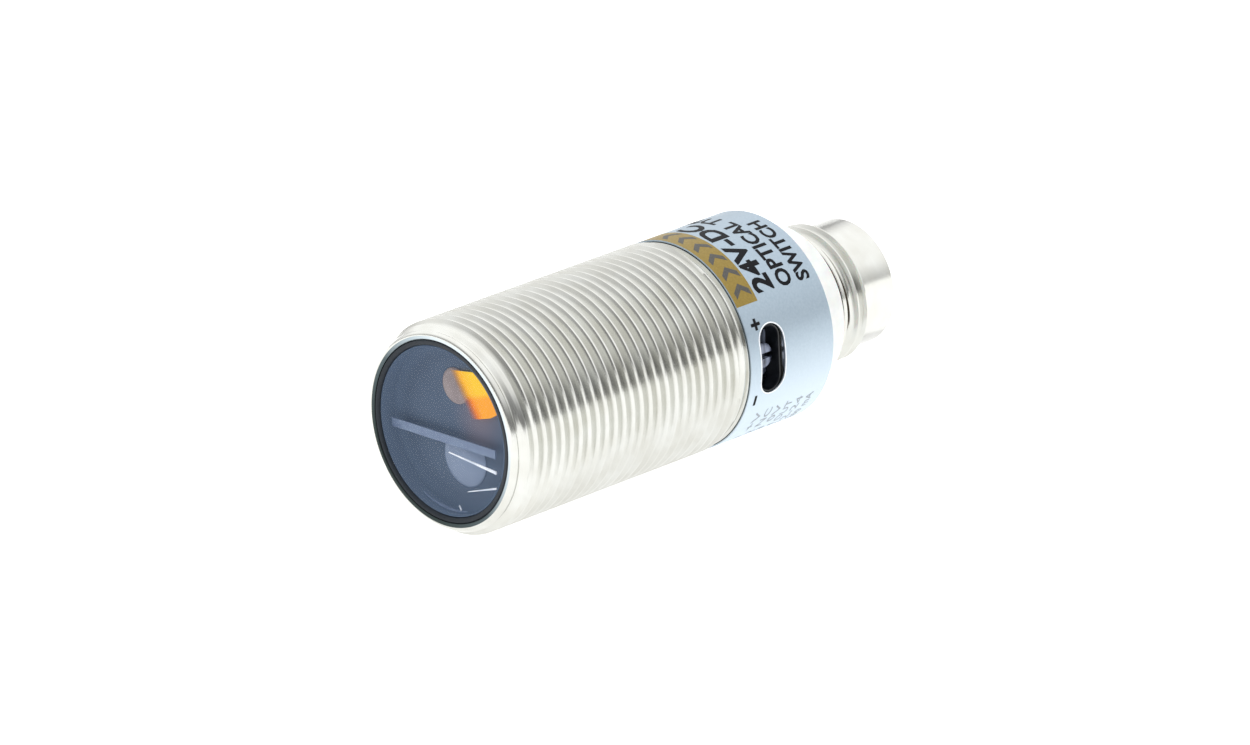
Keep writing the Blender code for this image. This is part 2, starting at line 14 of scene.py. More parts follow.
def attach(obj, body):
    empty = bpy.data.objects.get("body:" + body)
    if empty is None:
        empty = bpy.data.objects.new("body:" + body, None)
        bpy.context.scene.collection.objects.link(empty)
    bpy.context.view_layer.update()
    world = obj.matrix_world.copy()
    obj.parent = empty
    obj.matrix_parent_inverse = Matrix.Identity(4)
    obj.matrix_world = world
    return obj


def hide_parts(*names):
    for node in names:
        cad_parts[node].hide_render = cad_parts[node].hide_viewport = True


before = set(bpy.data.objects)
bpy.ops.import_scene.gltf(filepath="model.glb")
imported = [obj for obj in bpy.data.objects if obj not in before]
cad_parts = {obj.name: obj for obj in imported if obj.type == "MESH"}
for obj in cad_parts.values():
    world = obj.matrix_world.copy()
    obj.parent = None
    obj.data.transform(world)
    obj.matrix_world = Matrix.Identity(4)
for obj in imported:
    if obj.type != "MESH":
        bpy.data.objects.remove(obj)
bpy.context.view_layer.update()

# ---------------------------------------------------------------------------------------
# Barrel: one brass turning, chamfered at the front, with an M18 x 1 thread cut along it
# and a plain seat for the label. The oblong opening for the adjuster is milled through
# the seat, and the whole piece is nickel plated.

MM = 0.001

BARREL_RADIUS = 9.0 * MM
RIM_RADIUS = 8.3 * MM
RIM_FRONT = -0.35 * MM
RIM_ROUND = 0.12 * MM
RIM_INNER_RADIUS = 7.74 * MM
CHAMFER_END = 0.95 * MM
SEAT_RADIUS = 7.95 * MM
SEAT_END = 1.55 * MM
BORE_RADIUS = 7.7 * MM
LABEL_FRONT = 26.3 * MM
LABEL_REAR = 36.05 * MM
LABEL_SEAT_RADIUS = 8.8 * MM
PITCH = 1.0 * MM
THREAD_DEPTH = 0.613 * MM
THREAD_REAR = 25.8 * MM
RELIEF_RADIUS = 8.6 * MM
OPENING_Y = 28.98 * MM
OPENING_WIDTH = 2.75 * MM
OPENING_LENGTH = 5.95 * MM
BARREL_FACETS = 240
NICKEL_LIGHT = "#D4D5D1"
NICKEL_WARM = "#CBCBC5"
SHARP = math.radians(40)


def linear(code):
    """An sRGB hex colour as linear RGBA."""
    values = [int(code[start:start + 2], 16) / 255.0 for start in (1, 3, 5)]
    values = [v / 12.92 if v <= 0.04045 else ((v + 0.055) / 1.055) ** 2.4 for v in values]
    return (*values, 1.0)


def add(tree, kind, settings=None, links=None):
    """Add a node: lower-case settings are its properties, the others its sockets."""
    made = tree.nodes.new("ShaderNode" + kind)
    for key, value in (settings or {}).items():
        if key == "stops":
            ramp = made.color_ramp.elements
            while len(ramp) < len(value):
                ramp.new(1.0)
            for stop, (place, colour) in zip(ramp, value):
                stop.position = place
                stop.color = colour
        elif isinstance(key, str) and key[0].islower():
            setattr(made, key, value)
        else:
            made.inputs[key].default_value = value
    for key, source in (links or {}).items():
        tree.links.new(source, made.inputs[key])
    return made


def finish(name, colour, roughness, **sockets):
    """A material with one Principled shader, and that shader's sockets set."""
    made = bpy.data.materials.new(name)
    made.use_nodes = True
    shader = made.node_tree.nodes["Principled BSDF"]
    shader.inputs["Base Color"].default_value = linear(colour)
    shader.inputs["Roughness"].default_value = roughness
    for socket, value in sockets.items():
        shader.inputs[socket.replace("_", " ")].default_value = value
    return made, made.node_tree, shader


def grey(value):
    """A neutral colour for ramps that carry a number."""
    return (value, value, value, 1.0)


def solid(name, points, faces, material, shade_angle=SHARP):
    """A named mesh object from points and faces, with its faces pointing out."""
    mesh = bpy.data.meshes.new(name)
    mesh.from_pydata(points, [], faces)
    shape = bmesh.new()
    shape.from_mesh(mesh)
    bmesh.ops.remove_doubles(shape, verts=shape.verts, dist=1e-8)
    bmesh.ops.recalc_face_normals(shape, faces=shape.faces)
    shape.to_mesh(mesh)
    shape.free()
    mesh.materials.append(material)
    mesh.shade_smooth()
    mesh.set_sharp_from_angle(angle=shade_angle)
    made = bpy.data.objects.new(name, mesh)
    bpy.context.collection.objects.link(made)
    return made


def oblong(width, length, steps=14):
    """Points of a stadium as (across, along), its long side second."""
    radius = width / 2.0
    reach = length / 2.0 - radius
    points = []
    for centre, start in ((reach, 0.0), (-reach, math.pi)):
        for step in range(steps + 1):
            angle = start + math.pi * step / steps
            points.append((radius * math.cos(angle), centre + radius * math.sin(angle)))
    return points


def loft(rings, closed):
    """Points and faces of a skin through rings of equal length.

    A closed skin joins the last ring to the first, an open one gets flat caps.
    """
    count = len(rings[0])
    points = [point for ring in rings for point in ring]
    faces = []
    for row in range(len(rings) if closed else len(rings) - 1):
        near = row * count
        far = (row + 1) % len(rings) * count
        for step in range(count):
            after = (step + 1) % count
            faces.append((near + step, near + after, far + after, far + step))
    if not closed:
        faces.append(tuple(range(count)))
        faces.append(tuple(range(len(points) - count, len(points))))
    return points, faces


def opening_tool(width, length, low, high):
    """A stadium bar along X that cuts an opening at the adjuster."""
    rings = []
    for x in (low, high):
        rings.append([(x, OPENING_Y + y, z) for y, z in oblong(width, length)])
    return solid("opening_tool", *loft(rings, False), nickel)


def carve(piece, tool, operation="DIFFERENCE"):
    """Cut the tool out of the piece, or join it on, and remove the tool."""
    step = piece.modifiers.new("carve", "BOOLEAN")
    step.operation = operation
    step.solver = "EXACT"
    step.object = tool
    seen = piece.evaluated_get(bpy.context.evaluated_depsgraph_get())
    cut = bpy.data.meshes.new_from_object(seen)
    piece.modifiers.clear()
    piece.data = cut
    cut.shade_smooth()
    cut.set_sharp_from_angle(angle=SHARP)
    bpy.data.objects.remove(tool, do_unlink=True)


# Nickel-plated turned brass: a half-bright, faintly warm plate over fine circular tool
# marks. The marks are about 0.03 mm apart on the real piece and drawn three times coarser.
nickel, tree, shader = finish("nickel_plated_turned_brass", NICKEL_LIGHT, 0.2, Metallic=1.0)
place = add(tree, "TexCoord").outputs["Object"]
patch = add(tree, "TexNoise", {"Scale": 420.0, "Detail": 2.0}, {"Vector": place})
tint = add(tree, "ValToRGB", {"stops": [(0.35, linear(NICKEL_WARM)), (0.7, linear(NICKEL_LIGHT))]},
           {"Fac": patch.outputs["Fac"]})
tree.links.new(tint.outputs["Color"], shader.inputs["Base Color"])
marks = add(tree, "VectorMath", {"operation": "MULTIPLY", 1: (120.0, 11000.0, 120.0)}, {0: place})
turned_marks = add(tree, "TexNoise", {"Scale": 1.0, "Detail": 2.0}, {"Vector": marks.outputs[0]})
dull = add(tree, "ValToRGB", {"stops": [(0.3, grey(0.14)), (0.7, grey(0.22))]},
           {"Fac": turned_marks.outputs["Fac"]})
tree.links.new(dull.outputs["Color"], shader.inputs["Roughness"])
relief = add(tree, "Bump", {"Strength": 0.06, "Distance": 0.02 * MM},
             {"Height": turned_marks.outputs["Fac"]})
tree.links.new(relief.outputs["Normal"], shader.inputs["Normal"])


def thread_profile(outer, depth, phase):
    """Radius of a 60 degree thread at a phase from 0 to 1, its crest at 0."""
    away = min(phase, 1.0 - phase)
    crest = 0.05
    flank_end = 0.36
    if away <= crest:
        return outer
    if away <= flank_end:
        return outer - 0.9 * depth * (away - crest) / (flank_end - crest)
    rest = (away - flank_end) / (0.5 - flank_end)
    return outer - depth * (0.9 + 0.1 * math.sin(rest * math.pi / 2.0))


def helix_rows(outer, depth, front, rear, facets, envelope):
    """Rings of points along a right-hand thread between two flat ends.

    Each row follows the helix at one phase of the thread. Rows are clamped to the two
    ends, where they meet, and the envelope keeps them under chamfers and run-outs.
    """
    phases = (0.0, 0.05, 0.09, 0.2, 0.36, 0.42, 0.5, 0.58, 0.64, 0.8, 0.91, 0.95)
    turns = math.ceil((rear - front) / PITCH) + 2
    rows = []
    for turn in range(turns):
        for phase in phases:
            radius = thread_profile(outer, depth, phase)
            row = []
            for step in range(facets):
                share = step / facets
                along = front + (turn + phase - share) * PITCH
                along = min(max(along, front), rear)
                reach = min(radius, envelope(along))
                angle = 2.0 * math.pi * share
                row.append((reach * math.cos(angle), along, reach * math.sin(angle)))
            rows.append(row)
    return rows, len(phases)


def threaded(name, rows, per_turn, outline, material):
    """A turned piece whose outside is a helical strip and whose inside is an outline.

    The outline runs from the thread's rear end, through the bore, to its front end.
    """
    facets = len(rows[0])
    points = [point for row in rows for point in row]
    faces = []
    last = len(rows) - 1
    for row in range(-per_turn, last):
        for step in range(facets):
            after = (step + 1) % facets
            wrapped = per_turn if after == 0 else 0
            corners = []
            for line, spot in ((row, step), (row, after), (row + 1, after), (row + 1, step)):
                shift = -wrapped if spot == after and wrapped else 0
                corners.append(min(max(line + shift, 0), last) * facets + spot)
            kept = []
            for corner in corners:
                if points[corner] not in [points[known] for known in kept]:
                    kept.append(corner)
            if len(kept) > 2:
                faces.append(tuple(kept))
    ring = len(points)
    for radius, along in outline:
        for step in range(facets):
            angle = 2.0 * math.pi * step / facets
            points.append((radius * math.cos(angle), along, radius * math.sin(angle)))
    starts = [last * facets] + [ring + facets * line for line in range(len(outline))] + [0]
    for near, far in zip(starts, starts[1:]):
        for step in range(facets):
            after = (step + 1) % facets
            faces.append((near + step, near + after, far + after, far + step))
    return solid(name, points, faces, material)


def barrel_envelope(along):
    """Outer radius of the blank: front chamfer, full diameter, rear chamfer."""
    slope = (BARREL_RADIUS - RIM_RADIUS) / (CHAMFER_END - RIM_FRONT - RIM_ROUND)
    front = RIM_RADIUS + (along - RIM_FRONT - RIM_ROUND) * slope
    rear = BARREL_RADIUS - (along - THREAD_REAR + 0.3 * MM)
    return min(front, rear, BARREL_RADIUS)


rim_start = RIM_FRONT + RIM_ROUND
rows, per_turn = helix_rows(BARREL_RADIUS, THREAD_DEPTH, rim_start, THREAD_REAR,
                            BARREL_FACETS, barrel_envelope)
outline = [
    (RELIEF_RADIUS, THREAD_REAR + 0.1 * MM),
    (RELIEF_RADIUS, LABEL_FRONT - 0.15 * MM),
    (LABEL_SEAT_RADIUS, LABEL_FRONT - 0.05 * MM),
    (LABEL_SEAT_RADIUS, LABEL_REAR),
    (BORE_RADIUS, LABEL_REAR),
    (BORE_RADIUS, SEAT_END),
    (SEAT_RADIUS, SEAT_END),
    (SEAT_RADIUS, RIM_FRONT + 0.35 * MM),
    (RIM_INNER_RADIUS, RIM_FRONT + 0.2 * MM),
    (RIM_INNER_RADIUS, RIM_FRONT + 0.06 * MM),
    (RIM_INNER_RADIUS + 0.06 * MM, RIM_FRONT),
    (8.04 * MM, RIM_FRONT),
    (8.14 * MM, RIM_FRONT + 0.02 * MM),
    (8.23 * MM, RIM_FRONT + 0.06 * MM),
]
barrel = threaded("threaded_barrel", rows, per_turn, outline, nickel)
carve(barrel, opening_tool(OPENING_WIDTH, OPENING_LENGTH, 4.0 * MM, 12.0 * MM))

# Faced nickel: the rim's flat front is cut across the lathe's axis, so it is bluer and more satin
# than the thread. Its colour carries painted shade and painted reflection: dark towards its lower
# left, light towards its upper right.
faced, tree, shader = finish("nickel_plated_faced_brass", "#A9BAC4", 0.34, Metallic=1.0)
place = add(tree, "TexCoord").outputs["Object"]
# Painted shade and reflection: the colour darkens away from this direction.
PAINTED_SHADE_SIDE = (0.7, 0.0, 0.7)
shade_side_share = add(tree, "VectorMath", {"operation": "DOT_PRODUCT", 1: PAINTED_SHADE_SIDE}, {0: place})
spread = add(tree, "MapRange", {"From Min": -6.2 * MM, "From Max": 5.8 * MM},
             {"Value": shade_side_share.outputs["Value"]})
tint = add(tree, "ValToRGB", {"stops": [
    (0.0, linear("#333C3B")),
    (0.45, linear("#515C5F")),
    (0.78, linear("#A8B4BA")),
    (1.0, linear("#CDD7DC")),
]}, {"Fac": spread.outputs["Result"]})
tree.links.new(tint.outputs["Color"], shader.inputs["Base Color"])
barrel.data.materials.append(faced)
FACE_BAND = (RIM_INNER_RADIUS - 0.1 * MM, 8.06 * MM)
for face in barrel.data.polygons:
    reach = math.hypot(face.center.x, face.center.z)
    if face.center.y < RIM_FRONT + 0.05 * MM and FACE_BAND[0] < reach < FACE_BAND[1]:
        face.material_index = 1
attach(barrel, "sensor")
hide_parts("housing")

# ---------------------------------------------------------------------------------------
# Window and its ring: a disc of smoked polycarbonate, polished on both faces, pressed into
# a moulded rubber ring that seals it in the barrel's mouth.

WINDOW_FACE = -0.2 * MM
WINDOW_FACE_RADIUS = 7.17 * MM
WINDOW_FLANGE_RADIUS = 7.3 * MM
WINDOW_STEP = 0.45 * MM
WINDOW_THICKNESS = 1.5 * MM
FIT = 0.05 * MM


def turned(name, outline, material, facets=160, axis="Y"):
    """Turn an outline of (radius, distance) round Y, or round the adjuster's axis.

    An outline that starts and ends on the axis makes a solid piece, any other a ring.
    """
    whole = outline[0][0] == 0.0
    rings = []
    for radius, along in outline[1:-1] if whole else outline:
        ring = []
        for step in range(facets):
            angle = 2.0 * math.pi * step / facets
            across = radius * math.cos(angle)
            up = radius * math.sin(angle)
            ring.append((across, along, up) if axis == "Y" else (along, OPENING_Y + across, up))
        rings.append(ring)
    return solid(name, *loft(rings, not whole), material)


# Polished polycarbonate: the front face is all gloss and hardly any colour.
polished, tree, shader = finish("polished_polycarbonate", "#4A5A70", 0.03,
                                IOR=1.45, Alpha=0.1)
place = add(tree, "TexCoord").outputs["Object"]
patch = add(tree, "TexNoise", {"Scale": 190.0, "Detail": 2.0}, {"Vector": place})
tint = add(tree, "ValToRGB", {"stops": [(0.3, linear("#46566B")), (0.7, linear("#4E5F76"))]},
           {"Fac": patch.outputs["Fac"]})
tree.links.new(tint.outputs["Color"], shader.inputs["Base Color"])

# Smoked polycarbonate: the blue-grey body colour seen through the front, nearly opaque to the eye.
# Its emission is painted light: a cool glow that lifts the shade towards its edge, and a painted
# amber glow below the upper lens.
smoked, tree, shader = finish("smoked_polycarbonate", "#56657A", 0.5, Alpha=0.93)
shader.inputs["Specular IOR Level"].default_value = 0.1
place = add(tree, "TexCoord").outputs["Object"]
patch = add(tree, "TexNoise", {"Scale": 190.0, "Detail": 2.0}, {"Vector": place})
tint = add(tree, "ValToRGB", {"stops": [(0.3, linear("#546277")), (0.7, linear("#59687D"))]},
           {"Fac": patch.outputs["Fac"]})
tree.links.new(tint.outputs["Color"], shader.inputs["Base Color"])
# Painted amber glow: emission that fades out from this point over GLOW_REACH.
GLOW_CENTRE = (2.6 * MM, WINDOW_THICKNESS, 1.2 * MM)
GLOW_REACH = 3.4 * MM
spread = add(tree, "VectorMath", {"operation": "DISTANCE", 1: GLOW_CENTRE}, {0: place})
painted_glow_share = add(tree, "MapRange", {"interpolation_type": "SMOOTHSTEP", "From Min": 0.0,
                              "From Max": GLOW_REACH, "To Min": 0.09, "To Max": 0.0},
           {"Value": spread.outputs["Value"]})
warm = add(tree, "VectorMath", {"operation": "SCALE", 0: linear("#F59A5A")[:3]},
           {"Scale": painted_glow_share.outputs["Result"]})
# Painted light at the edge: emission that grows towards the rim and lifts its shade there.
flat = add(tree, "VectorMath", {"operation": "MULTIPLY", 1: (1.0, 0.0, 1.0)}, {0: place})
reach = add(tree, "VectorMath", {"operation": "LENGTH"}, {0: flat.outputs[0]})
painted_edge_light = add(tree, "MapRange", {"interpolation_type": "SMOOTHSTEP", "From Min": 5.6 * MM,
                                "From Max": 7.1 * MM, "To Min": 0.12, "To Max": 0.42},
             {"Value": reach.outputs["Value"]})
cool = add(tree, "VectorMath", {"operation": "SCALE", 0: linear("#566578")[:3]},
           {"Scale": painted_edge_light.outputs["Result"]})
painted_inner_light = add(tree, "VectorMath", {"operation": "ADD"},
                  {0: warm.outputs[0], 1: cool.outputs[0]})
tree.links.new(painted_inner_light.outputs[0], shader.inputs["Emission Color"])
shader.inputs["Emission Strength"].default_value = 1.0
outline = [
    (0.0, WINDOW_FACE),
    (WINDOW_FACE_RADIUS - 0.05 * MM, WINDOW_FACE),
    (WINDOW_FACE_RADIUS, WINDOW_FACE + 0.05 * MM),
    (WINDOW_FACE_RADIUS, WINDOW_STEP),
    (WINDOW_FLANGE_RADIUS, WINDOW_STEP),
    (WINDOW_FLANGE_RADIUS, WINDOW_THICKNESS),
    (0.0, WINDOW_THICKNESS),
]
window = turned("smoked_window", outline, polished)
window.data.materials.append(smoked)
for face in window.data.polygons:
    face.material_index = 0 if face.center.y < WINDOW_FACE + 0.01 * MM else 1
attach(window, "sensor")
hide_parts("front_window")

# Black nitrile rubber: matt to satin, with the faint grain of its mould.
rubber, tree, shader = finish("moulded_black_rubber", "#1C232B", 0.5)
place = add(tree, "TexCoord").outputs["Object"]
grain = add(tree, "TexNoise", {"Scale": 6000.0, "Detail": 3.0}, {"Vector": place})
tint = add(tree, "ValToRGB", {"stops": [(0.3, linear("#181E25")), (0.7, linear("#222A33"))]},
           {"Fac": grain.outputs["Fac"]})
shader.inputs["Specular IOR Level"].default_value = 0.25
tree.links.new(tint.outputs["Color"], shader.inputs["Base Color"])
relief = add(tree, "Bump", {"Strength": 0.25, "Distance": 0.01 * MM},
             {"Height": grain.outputs["Fac"]})
tree.links.new(relief.outputs["Normal"], shader.inputs["Normal"])
FUNNEL_RADIUS = 7.32 * MM
lip = RIM_FRONT + 0.04 * MM
round_edge = 0.1 * MM
inner = WINDOW_FACE_RADIUS + FIT
throat = RIM_INNER_RADIUS - FIT / 2.0
outer = SEAT_RADIUS - FIT
outline = [
    (inner, WINDOW_FACE + 0.04 * MM),
    (FUNNEL_RADIUS - 0.3 * round_edge, lip + 0.5 * round_edge),
    (FUNNEL_RADIUS + 0.3 * round_edge, lip),
    (throat - round_edge, lip),
    (throat, lip + round_edge),
    (throat, RIM_FRONT + 0.25 * MM),
    (outer, RIM_FRONT + 0.4 * MM),
    (outer, WINDOW_THICKNESS),
    (WINDOW_FLANGE_RADIUS + FIT, WINDOW_THICKNESS),
    (WINDOW_FLANGE_RADIUS + FIT, WINDOW_STEP - FIT),
    (inner, WINDOW_STEP - FIT),
]
gasket = turned("rubber_window_ring", outline, rubber)
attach(gasket, "sensor")
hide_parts("window_gasket")

# ---------------------------------------------------------------------------------------
# Lens holder: a moulded black plug behind the window, with a chamber for each lens.

HOLDER_RADIUS = 7.6 * MM
HOLDER_COLLAR_RADIUS = 7.0 * MM
HOLDER_FRONT = 1.6 * MM
HOLDER_FACE = 3.0 * MM
HOLDER_REAR = 9.5 * MM
LENS_OFFSET = 3.72 * MM
LENS_RADIUS = 2.9 * MM
LENS_BACK = 4.45 * MM
CHAMBER_FRONT_RADIUS = 2.4 * MM
CHAMBER_REAR_RADIUS = 1.7 * MM
BAFFLE_HALF_WIDTH = 6.85 * MM
BAFFLE_HALF_THICKNESS = 0.4 * MM
BAFFLE_REAR = 7.0 * MM

# Moulded black polycarbonate: a cool near-black with a faint grain.
holder_black, tree, shader = finish("moulded_black_polycarbonate", "#2B2F37", 0.38)
place = add(tree, "TexCoord").outputs["Object"]
grain = add(tree, "TexNoise", {"Scale": 3000.0, "Detail": 3.0}, {"Vector": place})
tint = add(tree, "ValToRGB", {"stops": [(0.3, linear("#272B33")), (0.7, linear("#30353E"))]},
           {"Fac": grain.outputs["Fac"]})
tree.links.new(tint.outputs["Color"], shader.inputs["Base Color"])
outline = [
    (0.0, HOLDER_FACE),
    (HOLDER_COLLAR_RADIUS, HOLDER_FACE),
    (HOLDER_COLLAR_RADIUS, HOLDER_FRONT),
    (HOLDER_RADIUS, HOLDER_FRONT),
    (HOLDER_RADIUS, HOLDER_REAR),
    (0.0, HOLDER_REAR),
]
holder = turned("lens_holder_plug", outline, holder_black)
for side in (1.0, -1.0):
    chamber = [
        (0.0, 2.0 * MM),
        (LENS_RADIUS + FIT, 2.0 * MM),
        (LENS_RADIUS + FIT, LENS_BACK + FIT),
        (CHAMBER_FRONT_RADIUS, LENS_BACK + FIT),
        (CHAMBER_REAR_RADIUS, HOLDER_REAR + 1.0 * MM),
        (0.0, HOLDER_REAR + 1.0 * MM),
    ]
    tool = turned("chamber_tool", chamber, holder_black, 96)
    tool.data.transform(Matrix.Translation((0.0, 0.0, side * LENS_OFFSET)))
    carve(holder, tool)
half_x = BAFFLE_HALF_WIDTH + 2.0 * FIT
half_z = BAFFLE_HALF_THICKNESS + FIT
rings = []
for along in (HOLDER_FRONT - MM, BAFFLE_REAR + FIT):
    rings.append([(-half_x, along, -half_z), (half_x, along, -half_z),
                  (half_x, along, half_z), (-half_x, along, half_z)])
carve(holder, solid("slot_tool", *loft(rings, False), holder_black))
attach(holder, "sensor")
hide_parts("lens_holder")

# ---------------------------------------------------------------------------------------
# Baffle: a flat grey divider that slides into the holder between the two chambers and
# keeps the source's light away from the detector. Only its front edge shows.

NOSE_FRONT = 0.75 * MM
NOSE_REAR = 0.83 * MM
NOSE_HALF = 0.37 * MM
NOSE_LEFT = (-6.9 * MM, -0.89 * MM)
NOSE_RIGHT = (5.1 * MM, -1.16 * MM)

# Light grey acetal: pale, cool and satin, cut clean on its front edge.
acetal, tree, shader = finish("cut_grey_acetal", "#7A8BA6", 0.4)
shader.inputs["Specular IOR Level"].default_value = 0.2
place = add(tree, "TexCoord").outputs["Object"]
grain = add(tree, "TexNoise", {"Scale": 1800.0, "Detail": 3.0}, {"Vector": place})
tint = add(tree, "ValToRGB", {"stops": [(0.3, linear("#7483A0")), (0.7, linear("#8091AC"))]},
           {"Fac": grain.outputs["Fac"]})
tree.links.new(tint.outputs["Color"], shader.inputs["Base Color"])
edge = 0.06 * MM


def bar_ring(start, end, along, half):
    """Four corners of a bar's cross-section that spans from one (x, z) to another."""
    return [(start[0], along, start[1] - half), (end[0], along, end[1] - half),
            (end[0], along, end[1] + half), (start[0], along, start[1] + half)]


plate_left = (-BAFFLE_HALF_WIDTH, 0.0)
plate_right = (BAFFLE_HALF_WIDTH, 0.0)
rings = [
    bar_ring(plate_left, plate_right, WINDOW_THICKNESS + FIT, BAFFLE_HALF_THICKNESS),
    bar_ring(plate_left, plate_right, BAFFLE_REAR, BAFFLE_HALF_THICKNESS),
]
baffle = solid("baffle_plate", *loft(rings, False), acetal, math.radians(20))
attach(baffle, "sensor")
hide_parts("light_baffle")
rings = [
    bar_ring(NOSE_LEFT, NOSE_RIGHT, NOSE_FRONT, NOSE_HALF),
    bar_ring(NOSE_LEFT, NOSE_RIGHT, NOSE_REAR, NOSE_HALF),
]
nose = solid("baffle_nose", *loft(rings, False), acetal, math.radians(20))
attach(nose, "sensor")

# ---------------------------------------------------------------------------------------
# Lenses: two moulded acrylic lenses, each a small polished dome on a wide clear flange
# that drops into its chamber.

DOME_APEX = 1.25 * MM
DOME_BASE = 1.45 * MM
FLANGE_FRONT = 3.2 * MM
DOME_STEPS = 10

# Moulded acrylic, drawn as opaque glossy domes. The upper dome's warm tone is painted light from
# the diode behind it, the lower one's cool tone is a painted reflection of the room, and the
# baffle's nose hides the lower one's top.
for name, side, painted_tone, pale, dome_radius, dome_x, dome_z, dome_top in (
        ("emitter_lens", 1.0, "#8C8082", "#9D908F", 1.55 * MM, 0.2 * MM, 3.5 * MM, 9.0 * MM),
        ("receiver_lens", -1.0, "#7D8DA7", "#8696B0", 2.4 * MM, 0.85 * MM, -2.6 * MM,
         -1.65 * MM)):
    acrylic, tree, shader = finish(f"moulded_acrylic_{name}", painted_tone, 0.15, IOR=1.49)
    shader.inputs["Specular IOR Level"].default_value = 0.2
    place = add(tree, "TexCoord").outputs["Object"]
    patch = add(tree, "TexNoise", {"Scale": 700.0, "Detail": 2.0}, {"Vector": place})
    tint = add(tree, "ValToRGB", {"stops": [(0.3, linear(painted_tone)), (0.7, linear(pale))]},
               {"Fac": patch.outputs["Fac"]})
    tree.links.new(tint.outputs["Color"], shader.inputs["Base Color"])
    outline = [(0.0, FLANGE_FRONT), (LENS_RADIUS, FLANGE_FRONT)]
    outline += [(LENS_RADIUS, LENS_BACK), (0.0, LENS_BACK)]
    lens = turned(f"{name}_flange", outline, acrylic, 96)
    lens.data.transform(Matrix.Translation((0.0, 0.0, side * LENS_OFFSET)))
    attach(lens, "sensor")
    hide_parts(name)
    rings = []
    for step in range(DOME_STEPS + 1):
        angle = math.pi / 2.0 * step / DOME_STEPS
        radius = dome_radius * max(math.sin(angle), 0.02)
        along = DOME_BASE - (DOME_BASE - DOME_APEX) * math.cos(angle)
        ring = []
        for turn_step in range(96):
            around = 2.0 * math.pi * turn_step / 96
            height = min(dome_z + radius * math.sin(around), dome_top)
            ring.append((dome_x + radius * math.cos(around), along, height))
        rings.append(ring)
    dome = solid(f"{name}_dome", *loft(rings, False), acrylic)
    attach(dome, "sensor")

# A thin glowing plate beside the upper lens, on its adjuster side, painted with amber light that
# stands for the diode's light leaving the lens. It is yellow where it is strongest, orange below,
# and dies away redly towards the lens.
GLOW_TOP = (-1.3 * MM, 4.75 * MM)
GLOW_PLANE = 1.2 * MM
GLOW_ACROSS = (0.86, 0.0, 0.51)
lit, tree, shader = finish("painted_amber_glow", "#3A1C0C", 0.4)
shader.inputs["Specular IOR Level"].default_value = 0.1
place = add(tree, "TexCoord").outputs["Object"]
start = Vector((GLOW_TOP[0], 0.0, GLOW_TOP[1]))
inward = add(tree, "VectorMath", {"operation": "SUBTRACT", 1: start}, {0: place})
across = add(tree, "VectorMath", {"operation": "DOT_PRODUCT", 1: GLOW_ACROSS},
             {0: inward.outputs[0]})
ramped = add(tree, "MapRange", {"From Min": 0.2 * MM, "From Max": 3.0 * MM},
             {"Value": across.outputs["Value"]})
warm = add(tree, "ValToRGB", {"stops": [
    (0.3, linear("#A0583A")),
    (0.45, linear("#CB6A33")),
    (0.62, linear("#F58A2B")),
    (0.82, linear("#FFA92E")),
]}, {"Fac": ramped.outputs["Result"]})
fade = add(tree, "ValToRGB", {"stops": [(0.28, grey(0.0)), (0.45, grey(0.3)), (0.68, grey(1.0))]},
           {"Fac": ramped.outputs["Result"]})
tree.links.new(fade.outputs["Color"], shader.inputs["Alpha"])
GLOW_UP = (-0.29, 0.0, 1.0)
split = add(tree, "VectorMath", {"operation": "DOT_PRODUCT", 1: GLOW_UP}, {0: place})
rise = add(tree, "MapRange", {"interpolation_type": "SMOOTHSTEP", "From Min": 2.0 * MM,
                              "From Max": 2.65 * MM}, {"Value": split.outputs["Value"]})
bright = add(tree, "Math", {"operation": "MULTIPLY"},
             {0: rise.outputs["Result"], 1: ramped.outputs["Result"]})
fire = add(tree, "Mix", {"data_type": "RGBA"})
tree.links.new(bright.outputs[0], fire.inputs[0])
tree.links.new(warm.outputs["Color"], fire.inputs[6])
fire.inputs[7].default_value = linear("#FFCF30")
tree.links.new(fire.outputs[2], shader.inputs["Emission Color"])
grain = add(tree, "TexNoise", {"Scale": 1500.0, "Detail": 2.0}, {"Vector": place})
power = add(tree, "MapRange", {"To Min": 0.95, "To Max": 1.1}, {"Value": grain.outputs["Fac"]})
tree.links.new(power.outputs["Result"], shader.inputs["Emission Strength"])
corners = [GLOW_TOP, (0.44 * MM, 4.92 * MM), (2.82 * MM, 5.22 * MM), (4.2 * MM, 5.3 * MM),
           (5.3 * MM, 4.2 * MM), (6.1 * MM, 3.0 * MM), (6.0 * MM, 2.6 * MM),
           (5.09 * MM, 2.12 * MM), (4.3 * MM, 1.66 * MM), (2.99 * MM, 1.3 * MM),
           (1.9 * MM, 1.1 * MM), (0.7 * MM, 2.0 * MM)]
rings = [[(x, along, z) for x, z in corners] for along in (GLOW_PLANE, GLOW_PLANE + 0.04 * MM)]
glow = solid("painted_amber_glow_plate", *loft(rings, False), lit, math.radians(20))
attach(glow, "sensor")

